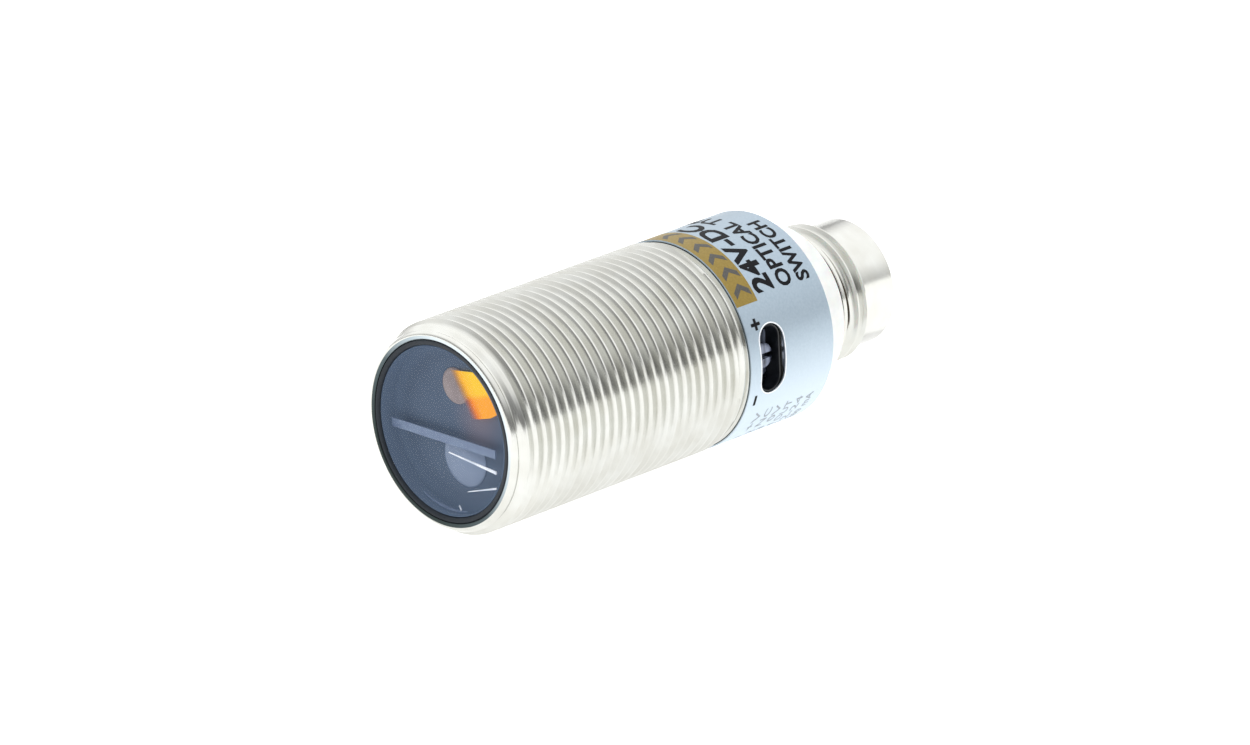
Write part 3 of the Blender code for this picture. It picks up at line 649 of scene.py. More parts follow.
# Slim ridges set in the window's depth, drawn pale and faintly glowing: painted highlights.
RIB_FRONT = 0.5 * MM
RIB_REAR = 0.6 * MM
painted_highlight, tree, shader = finish("painted_highlight_ridge", "#C9D6E6", 0.2,
                               Emission_Strength=0.3)
place = add(tree, "TexCoord").outputs["Object"]
patch = add(tree, "TexNoise", {"Scale": 500.0, "Detail": 2.0}, {"Vector": place})
tint = add(tree, "ValToRGB", {"stops": [(0.35, linear("#93A5BF")), (0.62, linear("#EEF4FC"))]},
           {"Fac": patch.outputs["Fac"]})
tree.links.new(tint.outputs["Color"], shader.inputs["Base Color"])
ribs = (
    ("rib_1", (-0.1 * MM, -2.0 * MM), (5.35 * MM, -2.6 * MM), 0.025 * MM, 0.13 * MM),
    ("rib_2", (1.9 * MM, -4.95 * MM), (5.25 * MM, -3.95 * MM), 0.02 * MM, 0.08 * MM),
    ("rib_3", (0.8 * MM, -6.4 * MM), (0.98 * MM, -6.7 * MM), 0.06 * MM, 0.08 * MM),
)
for name, start, end, slim, wide in ribs:
    rings = []
    for along in (RIB_FRONT, RIB_REAR):
        rings.append([(start[0], along, start[1] - slim), (end[0], along, end[1] - wide),
                      (end[0], along, end[1] + wide), (start[0], along, start[1] + slim)])
    rib = solid(name, *loft(rings, False), painted_highlight, math.radians(20))
    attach(rib, "sensor")
ARC_RADIUS = 6.92 * MM
ARC_START = math.radians(-119.0)
ARC_END = math.radians(-76.0)
ARC_STEPS = 16
rings = []
for step in range(ARC_STEPS + 1):
    share = step / ARC_STEPS
    angle = ARC_START + (ARC_END - ARC_START) * share
    half = 0.1 * MM * math.sin(math.pi * (0.08 + 0.84 * share))
    ring = []
    for radius, along in ((ARC_RADIUS - half, RIB_FRONT), (ARC_RADIUS + half, RIB_FRONT),
                          (ARC_RADIUS + half, RIB_REAR), (ARC_RADIUS - half, RIB_REAR)):
        ring.append((radius * math.cos(angle), along, radius * math.sin(angle)))
    rings.append(ring)
crescent = solid("rib_crescent", *loft(rings, False), acetal)
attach(crescent, "sensor")

# ---------------------------------------------------------------------------------------
# Label: a printed foil sleeve glued round the barrel's rear seat, with the adjuster's
# opening punched through it.

LABEL_RADIUS = 8.97 * MM
LABEL_INNER = 8.85 * MM
LABEL_BLUE = "#A3B2BF"

# Printed metallised film: satin pale blue ink over silver, so it darkens a little where it mirrors
# the dim part of the room. Towards the underside its colour is painted paler: painted light from
# the table below.
film, tree, shader = finish("printed_silver_film", LABEL_BLUE, 0.4, Metallic=0.65)
place = add(tree, "TexCoord").outputs["Object"]
patch = add(tree, "TexNoise", {"Scale": 5000.0, "Detail": 2.0}, {"Vector": place})
tint = add(tree, "ValToRGB", {"stops": [(0.3, linear("#9BABB8")), (0.7, linear("#A4B3BF"))]},
           {"Fac": patch.outputs["Fac"]})
split = add(tree, "SeparateXYZ", None, {"Vector": place})
# Painted light: the colour turns paler towards the underside, lower in Z.
painted_underside_light = add(tree, "MapRange", {"interpolation_type": "SMOOTHSTEP", "From Min": 3.0 * MM,
                              "From Max": -5.0 * MM, "To Min": 0.0, "To Max": 0.65},
           {"Value": split.outputs["Z"]})
ink_and_painted_light = add(tree, "Mix", {"data_type": "RGBA"})
tree.links.new(painted_underside_light.outputs["Result"], ink_and_painted_light.inputs[0])
tree.links.new(tint.outputs["Color"], ink_and_painted_light.inputs[6])
ink_and_painted_light.inputs[7].default_value = linear("#DCE9F3")
tree.links.new(ink_and_painted_light.outputs[2], shader.inputs["Base Color"])
relief = add(tree, "Bump", {"Strength": 0.06, "Distance": 0.01 * MM},
             {"Height": patch.outputs["Fac"]})
tree.links.new(relief.outputs["Normal"], shader.inputs["Normal"])
corner = 0.03 * MM
front = LABEL_FRONT + FIT
outline = [
    (LABEL_INNER, front),
    (LABEL_RADIUS - corner, front),
    (LABEL_RADIUS, front + corner),
    (LABEL_RADIUS, LABEL_REAR - corner),
    (LABEL_RADIUS - corner, LABEL_REAR),
    (LABEL_INNER, LABEL_REAR),
]
label = turned("label_film", outline, film, BARREL_FACETS)
carve(label, opening_tool(OPENING_WIDTH, OPENING_LENGTH, 4.0 * MM, 12.0 * MM))
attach(label, "sensor")
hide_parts("label_sleeve")

# ---------------------------------------------------------------------------------------
# Print on the label: screen-printed plain wording and marks, each a film of ink about a hundredth
# of a millimetre thick that follows the sleeve's curve.

INK_STEP = 0.25 * MM


def wrapped(name, points, faces, material):
    """A flat shape bent round the label.

    Its points are (distance round the label, distance along Y, height above the label).
    """
    made = solid(name, points, faces, material)
    shape = bmesh.new()
    shape.from_mesh(made.data)
    low = min(point[0] for point in points)
    high = max(point[0] for point in points)
    for step in range(1, math.ceil((high - low) / INK_STEP)):
        everything = shape.verts[:] + shape.edges[:] + shape.faces[:]
        cut = (low + step * INK_STEP, 0.0, 0.0)
        bmesh.ops.bisect_plane(shape, geom=everything, plane_co=cut, plane_no=(1.0, 0.0, 0.0))
    for point in shape.verts:
        around, along, height = point.co
        angle = around / LABEL_RADIUS
        radius = LABEL_RADIUS + height
        point.co = (radius * math.cos(angle), along, radius * math.sin(angle))
    bmesh.ops.recalc_face_normals(shape, faces=shape.faces)
    shape.to_mesh(made.data)
    shape.free()
    made.data.shade_smooth()
    made.data.set_sharp_from_angle(angle=SHARP)
    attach(made, "sensor")
    return made


def bar(name, start, end, front, rear, material, low=0.0, high=0.012 * MM):
    """A printed rectangle between two angles in degrees and two distances along Y."""
    near = math.radians(start) * LABEL_RADIUS
    far = math.radians(end) * LABEL_RADIUS
    rings = []
    for height in (low, high):
        rings.append([(near, front, height), (far, front, height),
                      (far, rear, height), (near, rear, height)])
    return wrapped(name, *loft(rings, False), material)


def lettering(name, body, start, end, top, foot, material, bold=0.0, low=0.0, high=0.012 * MM):
    """Wording that reads round the label from one angle to another, upright towards -Y."""
    words = bpy.data.curves.new(name, "FONT")
    words.body = body
    words.offset = bold
    words.extrude = 0.5
    words.resolution_u = 3
    holder_object = bpy.data.objects.new(name, words)
    bpy.context.collection.objects.link(holder_object)
    seen = holder_object.evaluated_get(bpy.context.evaluated_depsgraph_get())
    flat = bpy.data.meshes.new_from_object(seen)
    bpy.data.objects.remove(holder_object, do_unlink=True)
    lows = [min(v.co[axis] for v in flat.vertices) for axis in range(3)]
    highs = [max(v.co[axis] for v in flat.vertices) for axis in range(3)]
    near = math.radians(start) * LABEL_RADIUS
    wide = math.radians(end - start) * LABEL_RADIUS
    points = []
    for v in flat.vertices:
        share = [(v.co[axis] - lows[axis]) / (highs[axis] - lows[axis]) for axis in range(3)]
        points.append((near + share[0] * wide, foot + share[1] * (top - foot),
                       low + share[2] * (high - low)))
    return wrapped(name, points, [tuple(f.vertices) for f in flat.polygons], material)


# Black screen ink: near black, half matt, with a slight break-up at the mesh of the screen.
ink, tree, shader = finish("screen_printed_black_ink", "#0D0E12", 0.5)
shader.inputs["Specular IOR Level"].default_value = 0.1
place = add(tree, "TexCoord").outputs["Object"]
dots = add(tree, "TexNoise", {"Scale": 7000.0, "Detail": 1.0}, {"Vector": place})
tint = add(tree, "ValToRGB", {"stops": [(0.3, linear("#0A0B0E")), (0.75, linear("#14161B"))]},
           {"Fac": dots.outputs["Fac"]})
tree.links.new(tint.outputs["Color"], shader.inputs["Base Color"])

# Grey screen ink: the same ink let down, so the print looks faded.
faint, tree, shader = finish("screen_printed_grey_ink", "#45443F", 0.5)
place = add(tree, "TexCoord").outputs["Object"]
dots = add(tree, "TexNoise", {"Scale": 7000.0, "Detail": 1.0}, {"Vector": place})
tint = add(tree, "ValToRGB", {"stops": [(0.3, linear("#3E3D3A")), (0.75, linear("#4E4C46"))]},
           {"Fac": dots.outputs["Fac"]})
tree.links.new(tint.outputs["Color"], shader.inputs["Base Color"])

# Pale screen ink: thinner still, for the small wiring table underneath.
pale_ink, tree, shader = finish("screen_printed_pale_ink", "#8F979F", 0.5)
place = add(tree, "TexCoord").outputs["Object"]
dots = add(tree, "TexNoise", {"Scale": 7000.0, "Detail": 1.0}, {"Vector": place})
tint = add(tree, "ValToRGB", {"stops": [(0.3, linear("#878F97")), (0.75, linear("#9BA3AB"))]},
           {"Fac": dots.outputs["Fac"]})
tree.links.new(tint.outputs["Color"], shader.inputs["Base Color"])

# Gold ink over the silver film: a satin metallic ochre block.
gold_ink, tree, shader = finish("screen_printed_gold_ink", "#8B7530", 0.42, Metallic=0.45)
place = add(tree, "TexCoord").outputs["Object"]
dots = add(tree, "TexNoise", {"Scale": 6000.0, "Detail": 2.0}, {"Vector": place})
tint = add(tree, "ValToRGB", {"stops": [(0.3, linear("#836E2B")), (0.75, linear("#937D38"))]},
           {"Fac": dots.outputs["Fac"]})
tree.links.new(tint.outputs["Color"], shader.inputs["Base Color"])

bar("gold_block", 32.5, 112.0, LABEL_FRONT + 0.08 * MM, 28.8 * MM, gold_ink, 0.0, 0.008 * MM)
ARROW_COUNT = 6
ARROW_TOP = 26.85 * MM
ARROW_FOOT = 28.55 * MM
ARROW_STROKE = 0.6 * MM
ARROW_DEPTH = 0.7 * MM
ARROW_PITCH = 1.8 * MM
points = []
faces = []
middle = (ARROW_TOP + ARROW_FOOT) / 2.0
first = math.radians(36.5) * LABEL_RADIUS
for order in range(ARROW_COUNT):
    left = first + order * ARROW_PITCH
    tip = left + ARROW_DEPTH
    for end in (ARROW_TOP, ARROW_FOOT):
        rings = []
        for height in (0.004 * MM, 0.014 * MM):
            rings.append([(left, end, height), (left + ARROW_STROKE, end, height),
                          (tip + ARROW_STROKE, middle, height), (tip, middle, height)])
        more_points, more_faces = loft(rings, False)
        faces += [tuple(len(points) + corner for corner in face) for face in more_faces]
        points += more_points
wrapped("block_arrows", points, faces, faint)
lettering("rating_print", "24V-DC", 35.5, 103.0, 29.05 * MM, 31.15 * MM, ink, 0.035)
lettering("word_print_1", "OPTICAL TYPE", 34.6, 120.0, 31.75 * MM, 33.3 * MM, ink, 0.03)
lettering("word_print_2", "SWITCH", 34.3, 80.0, 33.85 * MM, 35.25 * MM, ink, 0.03)
bar("plus_mark_1", 17.9, 24.3, 27.48 * MM, 27.76 * MM, ink)
bar("plus_mark_2", 20.2, 22.0, 27.12 * MM, 28.12 * MM, ink)
bar("minus_mark", -24.6, -18.3, 27.1 * MM, 27.36 * MM, ink)
pin_lines = ("1 +V", "2 NC", "3 0V", "4 OUT", "12-24", "200 mA")
for order, line in enumerate(pin_lines):
    line_top = (28.1 + 1.2 * order) * MM
    lettering(f"pin_line_{order + 1}", line, -58.0, -31.7, line_top, line_top + 0.75 * MM, pale_ink)

# Punched edge: the white core of the film shows round the opening.
white_core, tree, shader = finish("punched_white_film_edge", "#F2F6FA", 0.4)
place = add(tree, "TexCoord").outputs["Object"]
dots = add(tree, "TexNoise", {"Scale": 4000.0, "Detail": 2.0}, {"Vector": place})
tint = add(tree, "ValToRGB", {"stops": [(0.3, linear("#EAF0F6")), (0.7, linear("#F8FAFC"))]},
           {"Fac": dots.outputs["Fac"]})
tree.links.new(tint.outputs["Color"], shader.inputs["Base Color"])
EDGE_WIDTH = 0.11 * MM
rings = []
for grow, height in ((0.0, -0.02 * MM), (0.0, 0.02 * MM), (2.0, 0.015 * MM), (2.0, -0.02 * MM)):
    outline = oblong(OPENING_WIDTH + grow * EDGE_WIDTH, OPENING_LENGTH + grow * EDGE_WIDTH)
    arc_length = [LABEL_RADIUS * math.asin(along / LABEL_RADIUS) for across, along in outline]
    rings.append([(around, OPENING_Y + across, height)
                  for around, (across, along) in zip(arc_length, outline)])
wrapped("opening_edge", *loft(rings, True), white_core)

# ---------------------------------------------------------------------------------------
# Adjuster: a moulded black bezel lines the opening, and the trimmer's slotted rotor stands
# at its bottom. The rotor turns with a small screwdriver.

BEZEL_WALL = 0.15 * MM
BEZEL_LOW = 6.95 * MM
BEZEL_HIGH = 8.45 * MM
ROTOR_SHAFT_RADIUS = 1.2 * MM
ROTOR_SHAFT_END = 1.3 * MM
ROTOR_HEAD_RADIUS = 2.2 * MM
ROTOR_HEAD_LOW = 5.2 * MM
ROTOR_HEAD_HIGH = 6.85 * MM
ROTOR_BOSS_RADIUS = 1.1 * MM
ROTOR_TOP = 7.85 * MM
DRIVER_SLOT_WIDTH = 0.5 * MM
DRIVER_SLOT_DEPTH = 0.7 * MM

# Black glass-filled nylon: deep black and satin, with a faint moulded grain.
nylon, tree, shader = finish("moulded_black_nylon", "#101216", 0.3)
place = add(tree, "TexCoord").outputs["Object"]
grain = add(tree, "TexNoise", {"Scale": 5000.0, "Detail": 3.0}, {"Vector": place})
tint = add(tree, "ValToRGB", {"stops": [(0.3, linear("#0D0F12")), (0.7, linear("#15171C"))]},
           {"Fac": grain.outputs["Fac"]})
tree.links.new(tint.outputs["Color"], shader.inputs["Base Color"])
relief = add(tree, "Bump", {"Strength": 0.15, "Distance": 0.01 * MM},
             {"Height": grain.outputs["Fac"]})
tree.links.new(relief.outputs["Normal"], shader.inputs["Normal"])
outer_width = OPENING_WIDTH - 2.0 * FIT
outer_length = OPENING_LENGTH - 2.0 * FIT
rings = []
for wall, height in ((0.0, BEZEL_LOW), (0.0, BEZEL_HIGH - edge), (edge, BEZEL_HIGH),
                     (BEZEL_WALL, BEZEL_HIGH - edge), (BEZEL_WALL, BEZEL_LOW)):
    outline = oblong(outer_width - 2.0 * wall, outer_length - 2.0 * wall)
    rings.append([(height, OPENING_Y + across, along) for across, along in outline])
bezel = solid("bezel_lining", *loft(rings, True), nylon)
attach(bezel, "sensor")
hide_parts("adjuster_bezel")

# Dark acetal rotor: bluer and glossier than the bezel. Its long pale streaks are painted
# highlights, and its bluish tone is lifted with painted light so it shows in the dim recess.
rotor_acetal, tree, shader = finish("dark_acetal_painted_highlights", "#4A5164", 0.22)
place = add(tree, "TexCoord").outputs["Object"]
highlight_stretch = add(tree, "VectorMath", {"operation": "MULTIPLY", 1: (300.0, 1500.0, 420.0)}, {0: place})
streak = add(tree, "TexNoise", {"Scale": 1.0, "Detail": 2.0}, {"Vector": highlight_stretch.outputs[0]})
tint = add(tree, "ValToRGB", {"stops": [(0.4, linear("#2A2E3C")), (0.66, linear("#98A1B8"))]},
           {"Fac": streak.outputs["Fac"]})
tree.links.new(tint.outputs["Color"], shader.inputs["Base Color"])
outline = [
    (0.0, ROTOR_SHAFT_END),
    (ROTOR_SHAFT_RADIUS, ROTOR_SHAFT_END),
    (ROTOR_SHAFT_RADIUS, ROTOR_HEAD_LOW),
    (ROTOR_HEAD_RADIUS, ROTOR_HEAD_LOW),
    (ROTOR_HEAD_RADIUS, ROTOR_HEAD_HIGH - edge),
    (ROTOR_HEAD_RADIUS - edge, ROTOR_HEAD_HIGH),
    (ROTOR_BOSS_RADIUS, ROTOR_HEAD_HIGH),
]
ROTOR_ROUND = 0.25 * MM
for step in range(7):
    angle = math.pi / 2.0 * step / 6
    outline.append((ROTOR_BOSS_RADIUS - ROTOR_ROUND * (1.0 - math.cos(angle)),
                    ROTOR_TOP - ROTOR_ROUND * (1.0 - math.sin(angle))))
outline.append((0.0, ROTOR_TOP))
rotor = turned("slotted_rotor", outline, rotor_acetal, 96, "X")
half = DRIVER_SLOT_WIDTH / 2.0
rings = []
for height in (ROTOR_TOP - DRIVER_SLOT_DEPTH, ROTOR_TOP + MM):
    rings.append([(height, OPENING_Y - 2.0 * MM, -half), (height, OPENING_Y + 2.0 * MM, -half),
                  (height, OPENING_Y + 2.0 * MM, half), (height, OPENING_Y - 2.0 * MM, half)])
carve(rotor, solid("driver_slot_tool", *loft(rings, False), rotor_acetal))
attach(rotor, "adjuster")
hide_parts("adjuster_rotor")

# ---------------------------------------------------------------------------------------
# Light ring: a moulded translucent ring that closes the barrel behind the label and
# carries the indicator diodes' light out all round.

LIGHT_RING_FRONT = 34.6 * MM
LIGHT_RING_REAR = 39.55 * MM
LIGHT_RING_RADIUS = 6.95 * MM
LIGHT_RING_FLANGE_RADIUS = 8.5 * MM
CONNECTOR_RADIUS = 6.0 * MM
CONNECTOR_FLANGE_RADIUS = 6.5 * MM
CONNECTOR_FRONT = 35.2 * MM
CONNECTOR_FLANGE_REAR = 36.0 * MM

# Milky polycarbonate: white, waxy and half glossy, with light soaking in.
milky, tree, shader = finish("moulded_milky_polycarbonate", "#E4E6E4", 0.3,
                             Subsurface_Weight=0.25, Subsurface_Scale=0.4 * MM, IOR=1.58)
place = add(tree, "TexCoord").outputs["Object"]
patch = add(tree, "TexNoise", {"Scale": 900.0, "Detail": 2.0}, {"Vector": place})
tint = add(tree, "ValToRGB", {"stops": [(0.3, linear("#DFE1DF")), (0.7, linear("#E9EBE9"))]},
           {"Fac": patch.outputs["Fac"]})
tree.links.new(tint.outputs["Color"], shader.inputs["Base Color"])
sleeve = BORE_RADIUS - 2.0 * FIT
flange = LABEL_REAR + 2.0 * FIT
bore = CONNECTOR_RADIUS + 2.0 * FIT
outline = [
    (CONNECTOR_FLANGE_RADIUS + 2.0 * FIT, LIGHT_RING_FRONT),
    (sleeve, LIGHT_RING_FRONT),
    (sleeve, flange),
    (LIGHT_RING_FLANGE_RADIUS - edge, flange),
    (LIGHT_RING_FLANGE_RADIUS, flange + edge),
    (LIGHT_RING_FLANGE_RADIUS, flange + 0.3 * MM),
    (LIGHT_RING_FLANGE_RADIUS - edge, flange + 0.4 * MM),
    (LIGHT_RING_RADIUS + 0.15 * MM, flange + 1.1 * MM),
    (LIGHT_RING_RADIUS, flange + 1.3 * MM),
    (LIGHT_RING_RADIUS, LIGHT_RING_REAR - 0.1 * MM),
    (LIGHT_RING_RADIUS - 0.1 * MM, LIGHT_RING_REAR),
    (bore, LIGHT_RING_REAR),
    (bore, CONNECTOR_FLANGE_REAR + 2.0 * FIT),
    (CONNECTOR_FLANGE_RADIUS + 2.0 * FIT, CONNECTOR_FLANGE_REAR + 2.0 * FIT),
]
light_ring = turned("milky_light_ring", outline, milky)
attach(light_ring, "sensor")
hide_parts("light_ring")

# ---------------------------------------------------------------------------------------
# Connector shell: a nickel-plated brass turning with a seal groove, a locating collar, an
# M12 x 1 thread and a plain pilot. It is pressed into the light ring from the rear.

CONNECTOR_BORE_RADIUS = 4.5 * MM
CONNECTOR_THREAD_FRONT = 41.2 * MM
CONNECTOR_THREAD_REAR = 43.65 * MM
CONNECTOR_REAR = 47.15 * MM
PILOT_RADIUS = 5.4 * MM
GROOVE_RADIUS = 5.3 * MM
SEAL_GROOVE_FRONT = 37.5 * MM
SEAL_GROOVE_REAR = 38.5 * MM
SEAL_GROOVE_RADIUS = 5.5 * MM
SHELL_FACETS = 160


def shell_envelope(along):
    """Outer radius of the connector's thread blank, chamfered at both ends."""
    front = GROOVE_RADIUS + 0.1 * MM + 1.5 * (along - CONNECTOR_THREAD_FRONT)
    rear = PILOT_RADIUS + 0.05 * MM + 1.5 * (CONNECTOR_THREAD_REAR - along)
    return min(front, rear, CONNECTOR_RADIUS)


rows, per_turn = helix_rows(CONNECTOR_RADIUS, THREAD_DEPTH, CONNECTOR_THREAD_FRONT,
                            CONNECTOR_THREAD_REAR, SHELL_FACETS, shell_envelope)
collar_front = LIGHT_RING_REAR + 0.95 * MM
collar_rear = CONNECTOR_THREAD_FRONT - 0.3 * MM
bevel = 0.15 * MM
outline = [
    (PILOT_RADIUS, CONNECTOR_THREAD_REAR + 0.1 * MM),
    (PILOT_RADIUS, CONNECTOR_REAR - bevel),
    (PILOT_RADIUS - 0.3 * bevel, CONNECTOR_REAR - 0.3 * bevel),
    (PILOT_RADIUS - bevel, CONNECTOR_REAR),
    (CONNECTOR_BORE_RADIUS + bevel, CONNECTOR_REAR),
    (CONNECTOR_BORE_RADIUS, CONNECTOR_REAR - bevel),
    (CONNECTOR_BORE_RADIUS, CONNECTOR_FRONT),
    (CONNECTOR_FLANGE_RADIUS, CONNECTOR_FRONT),
    (CONNECTOR_FLANGE_RADIUS, CONNECTOR_FLANGE_REAR),
    (CONNECTOR_RADIUS, CONNECTOR_FLANGE_REAR),
    (CONNECTOR_RADIUS, SEAL_GROOVE_FRONT),
    (SEAL_GROOVE_RADIUS, SEAL_GROOVE_FRONT),
    (SEAL_GROOVE_RADIUS, SEAL_GROOVE_REAR),
    (CONNECTOR_RADIUS, SEAL_GROOVE_REAR),
    (CONNECTOR_RADIUS, collar_front - 0.25 * MM),
    (GROOVE_RADIUS, collar_front - 0.25 * MM),
    (GROOVE_RADIUS, collar_front),
    (CONNECTOR_RADIUS - edge, collar_front),
    (CONNECTOR_RADIUS, collar_front + edge),
    (CONNECTOR_RADIUS, collar_rear - edge),
    (CONNECTOR_RADIUS - edge, collar_rear),
    (GROOVE_RADIUS, collar_rear),
    (GROOVE_RADIUS, CONNECTOR_THREAD_FRONT - 0.1 * MM),
]
shell = threaded("connector_turning", rows, per_turn, outline, nickel)
# Painted shade: the two narrow grooves either side of the collar get a dark brown metal.
groove_painted_shade, tree, shader = finish("painted_groove_shade", "#4A4037", 0.5, Metallic=1.0)
place = add(tree, "TexCoord").outputs["Object"]
stain = add(tree, "TexNoise", {"Scale": 900.0, "Detail": 3.0}, {"Vector": place})
tint = add(tree, "ValToRGB", {"stops": [(0.3, linear("#3A322B")), (0.7, linear("#5C5044"))]},
           {"Fac": stain.outputs["Fac"]})
tree.links.new(tint.outputs["Color"], shader.inputs["Base Color"])
shell.data.materials.append(groove_painted_shade)
for face in shell.data.polygons:
    reach = math.hypot(face.center.x, face.center.z)
    inside = collar_front - 0.26 * MM < face.center.y < CONNECTOR_THREAD_FRONT
    if inside and CONNECTOR_BORE_RADIUS + 0.1 * MM < reach < CONNECTOR_RADIUS - 0.1 * MM:
        face.material_index = 1
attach(shell, "sensor")
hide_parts("connector_shell")

# ---------------------------------------------------------------------------------------
# Connector core: a moulded black insert with a coding key, and four gold-plated pins
# pressed through it.

INSERT_RADIUS = 4.4 * MM
INSERT_REAR = 40.2 * MM
KEY_REAR = 46.0 * MM
KEY_INNER = 3.7 * MM
KEY_OUTER = 4.3 * MM
KEY_HALF = 0.45 * MM
PIN_COUNT = 4
PIN_RADIUS = 0.5 * MM
PIN_CIRCLE_RADIUS = 2.6 * MM
PIN_HOLE_RADIUS = 0.56 * MM
PIN_FRONT = 34.5 * MM
PIN_TIP = 46.2 * MM

outline = [
    (0.0, CONNECTOR_FRONT + FIT),
    (INSERT_RADIUS, CONNECTOR_FRONT + FIT),
    (INSERT_RADIUS, INSERT_REAR - edge),
    (INSERT_RADIUS - edge, INSERT_REAR),
    (0.0, INSERT_REAR),
]
insert = turned("keyed_insert", outline, nylon, 120)
# Gold flash over nickel on brass: warm, clean and bright, with faint drawing marks.
gold, tree, shader = finish("gold_plated_brass", "#E6B95C", 0.18, Metallic=1.0)
place = add(tree, "TexCoord").outputs["Object"]
drawn = add(tree, "VectorMath", {"operation": "MULTIPLY", 1: (9000.0, 500.0, 9000.0)}, {0: place})
marks = add(tree, "TexNoise", {"Scale": 1.0, "Detail": 2.0}, {"Vector": drawn.outputs[0]})
tint = add(tree, "ValToRGB", {"stops": [(0.3, linear("#DDAE50")), (0.7, linear("#EBC26A"))]},
           {"Fac": marks.outputs["Fac"]})
tree.links.new(tint.outputs["Color"], shader.inputs["Base Color"])
relief = add(tree, "Bump", {"Strength": 0.08, "Distance": 0.01 * MM},
             {"Height": marks.outputs["Fac"]})
tree.links.new(relief.outputs["Normal"], shader.inputs["Normal"])
hole = [
    (0.0, PIN_FRONT - MM),
    (PIN_HOLE_RADIUS, PIN_FRONT - MM),
    (PIN_HOLE_RADIUS, INSERT_REAR + MM),
    (0.0, INSERT_REAR + MM),
]
pin = [(0.0, PIN_FRONT), (PIN_RADIUS, PIN_FRONT), (PIN_RADIUS, PIN_TIP - PIN_RADIUS)]
for step in range(1, 8):
    angle = math.pi / 2.0 * step / 8
    pin.append((PIN_RADIUS * math.cos(angle), PIN_TIP - PIN_RADIUS * (1.0 - math.sin(angle))))
pin.append((0.0, PIN_TIP))
for index in range(PIN_COUNT):
    angle = 2.0 * math.pi * index / PIN_COUNT
    spot = Matrix.Translation((PIN_CIRCLE_RADIUS * math.cos(angle), 0.0,
                               PIN_CIRCLE_RADIUS * math.sin(angle)))
    tool = turned("pin_hole_tool", hole, nylon, 48)
    tool.data.transform(spot)
    carve(insert, tool)
    contact = turned(f"gold_pin_{index + 1}", pin, gold, 48)
    contact.data.transform(spot)
    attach(contact, "sensor")
    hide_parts(f"contact_pin_{index + 1}")
rings = []
for along, inset in ((INSERT_REAR - 0.5 * MM, 0.0), (KEY_REAR - edge, 0.0), (KEY_REAR, edge)):
    rings.append([(KEY_INNER + inset, along, -KEY_HALF + inset),
                  (KEY_OUTER - inset, along, -KEY_HALF + inset),
                  (KEY_OUTER - inset, along, KEY_HALF - inset),
                  (KEY_INNER + inset, along, KEY_HALF - inset)])
key = solid("key_tool", *loft(rings, False), nylon)
key.data.transform(Matrix.Rotation(math.radians(-45.0), 4, "Y"))
carve(insert, key, "UNION")
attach(insert, "sensor")
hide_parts("connector_insert")

# ---------------------------------------------------------------------------------------
# Inside: the boards, chips, diodes, seals and carrier stay as the model has them, and get
# the finish of the real parts.


def dress(names, colour, second, scale, roughness, **sockets):
    """Give model pieces a finish whose colour wanders between two tones."""
    made, tree, shader = finish(f"inner_{names[0]}", colour, roughness, **sockets)
    place = add(tree, "TexCoord").outputs["Object"]
    grain = add(tree, "TexNoise", {"Scale": scale, "Detail": 3.0}, {"Vector": place})
    tint = add(tree, "ValToRGB", {"stops": [(0.3, linear(colour)), (0.7, linear(second))]},
               {"Fac": grain.outputs["Fac"]})
    tree.links.new(tint.outputs["Color"], shader.inputs["Base Color"])
    for name in names:
        for holder_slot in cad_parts[name].material_slots:
            holder_slot.link = "OBJECT"
            holder_slot.material = made


# Glass-epoxy laminate with green resist, black moulding epoxy, tinned steel, fired
# ceramic, black carrier plastic, rubber, and the tinted epoxy of the diodes.
dress(["optics_board", "main_board", "connector_board"], "#1D5A38", "#277046", 2500.0, 0.35)
dress(["receiver_photodiode", "receiver_amplifier", "driver_transistor", "control_chip",
       "protection_diode", "output_transistor"], "#1E1F22", "#2A2B2F", 6000.0, 0.45)
dress(["amplifier_shield"], "#C3C5C7", "#D2D4D6", 1500.0, 0.3, Metallic=1.0)
dress(["capacitor_1", "capacitor_2"], "#A98D6B", "#B89C79", 3000.0, 0.5)
dress(["board_carrier", "board_link", "rear_link", "adjuster_body"],
      "#15171B", "#1F2126", 4000.0, 0.4)
dress(["adjuster_seal", "connector_seal"], "#202429", "#2A2F35", 6000.0, 0.5)
dress(["emitter_led"], "#F08A1E", "#F8A838", 2000.0, 0.2, Emission_Strength=2.0,
      Emission_Color=linear("#FFA52E"))
dress(["indicator_led_orange"], "#F08A3A", "#F59B50", 2000.0, 0.25)
dress(["indicator_led_green"], "#4FAE62", "#62BE74", 2000.0, 0.25)

# ---------------------------------------------------------------------------------------
# Camera, lights and floor: a plain white table under soft studio light.

VIEW_AZIMUTH = math.radians(45.87)
VIEW_ELEVATION = math.radians(19.17)
VIEW_ROLL = math.radians(-2.77)
VIEW_DISTANCE = 800.0 * MM
VIEW_CENTRE = Vector((9.536, 11.402, 3.849)) * MM
FLOOR_REACH = 8.0

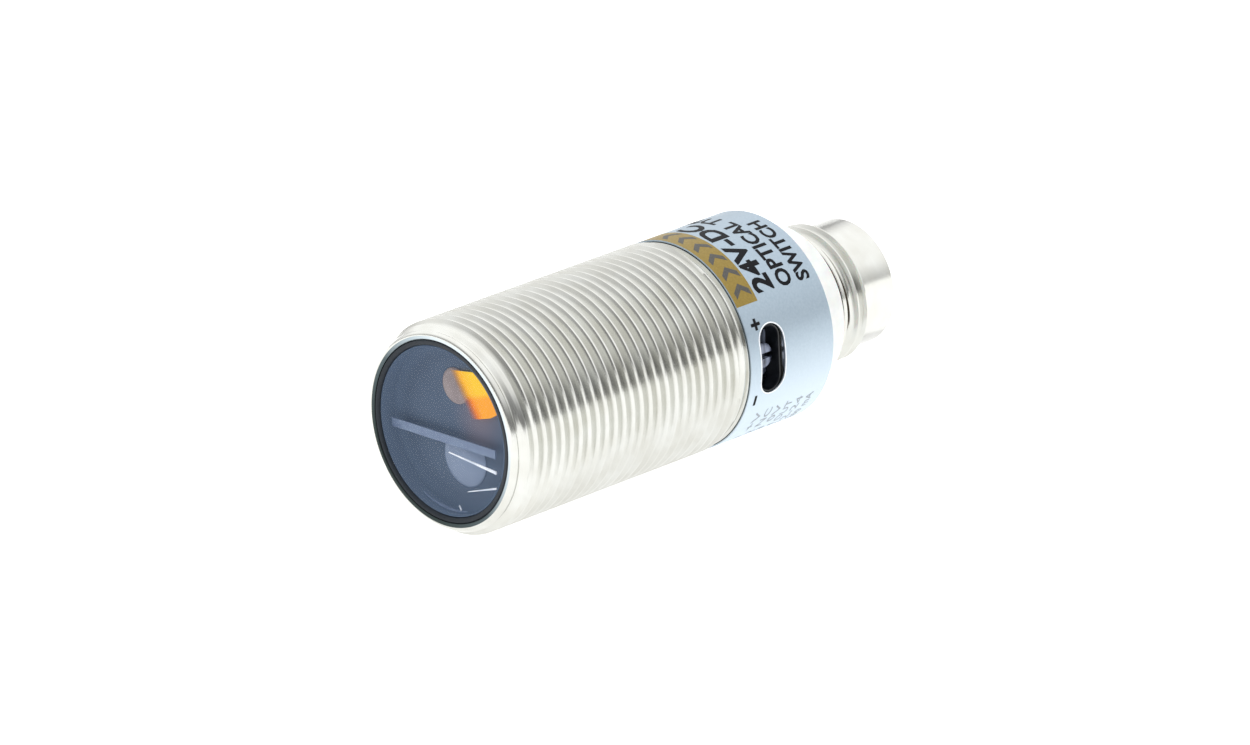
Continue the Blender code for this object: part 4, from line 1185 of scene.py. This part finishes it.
back = Vector((
    math.sin(VIEW_AZIMUTH) * math.cos(VIEW_ELEVATION),
    -math.cos(VIEW_AZIMUTH) * math.cos(VIEW_ELEVATION),
    math.sin(VIEW_ELEVATION),
))
level = Vector((math.cos(VIEW_AZIMUTH), math.sin(VIEW_AZIMUTH), 0.0))
right = math.cos(VIEW_ROLL) * level + math.sin(VIEW_ROLL) * back.cross(level)
camera = bpy.data.objects.new("camera", bpy.data.cameras.new("camera"))
camera.data.sensor_width = 36.0
camera.data.lens = 286.0
camera.data.clip_start = 0.01
camera.data.clip_end = 50.0
turn = Matrix((right, back.cross(right), back)).transposed().to_4x4()
camera.matrix_world = Matrix.Translation(VIEW_CENTRE + VIEW_DISTANCE * back) @ turn
bpy.context.collection.objects.link(camera)
bpy.context.scene.camera = camera

# White laminate table: smooth and plain, with the faintest mottle.
table, tree, shader = finish("white_laminate_table", "#A9A9A7", 0.6, Emission_Strength=1.05)
place = add(tree, "TexCoord").outputs["Object"]
patch = add(tree, "TexNoise", {"Scale": 9.0, "Detail": 2.0}, {"Vector": place})
tint = add(tree, "ValToRGB", {"stops": [(0.3, linear("#A4A4A2")), (0.7, linear("#AEAEAD"))]},
           {"Fac": patch.outputs["Fac"]})
tree.links.new(tint.outputs["Color"], shader.inputs["Base Color"])
shader.inputs["Emission Color"].default_value = linear("#FFFFFF")
low = -BARREL_RADIUS
floor = solid("table_top", [(-FLOOR_REACH, -FLOOR_REACH, low), (FLOOR_REACH, -FLOOR_REACH, low),
                            (FLOOR_REACH, FLOOR_REACH, low), (-FLOOR_REACH, FLOOR_REACH, low)],
              [(0, 1, 2, 3)], table)

world = bpy.data.worlds.new("studio")
world.use_nodes = True
bpy.context.scene.world = world
tree = world.node_tree
heading = add(tree, "TexCoord").outputs["Generated"]
height = add(tree, "SeparateXYZ", None, {"Vector": heading}).outputs["Z"]
near_sky = add(tree, "ValToRGB", {"stops": [
    (0.0, grey(0.22)),
    (0.18, grey(0.26)),
    (0.34, grey(0.38)),
    (0.46, grey(0.72)),
    (0.62, grey(1.2)),
    (1.0, grey(1.45)),
]}, {"Fac": height})
far_sky = add(tree, "ValToRGB", {"stops": [
    (0.0, grey(0.6)),
    (0.3, grey(1.45)),
    (1.0, grey(1.55)),
]}, {"Fac": height})
facing = add(tree, "VectorMath", {"operation": "DOT_PRODUCT", 1: (-0.6, 0.8, 0.0)}, {0: heading})
share = add(tree, "MapRange", {"interpolation_type": "SMOOTHSTEP", "From Min": -0.6,
                               "From Max": 0.3}, {"Value": facing.outputs["Value"]})
sky = add(tree, "Mix", {"data_type": "RGBA"})
tree.links.new(share.outputs["Result"], sky.inputs[0])
tree.links.new(near_sky.outputs["Color"], sky.inputs[6])
tree.links.new(far_sky.outputs["Color"], sky.inputs[7])
tree.links.new(sky.outputs[2], tree.nodes["Background"].inputs["Color"])
tree.nodes["Background"].inputs["Strength"].default_value = 1.0

bpy.context.scene.view_settings.view_transform = "Standard"
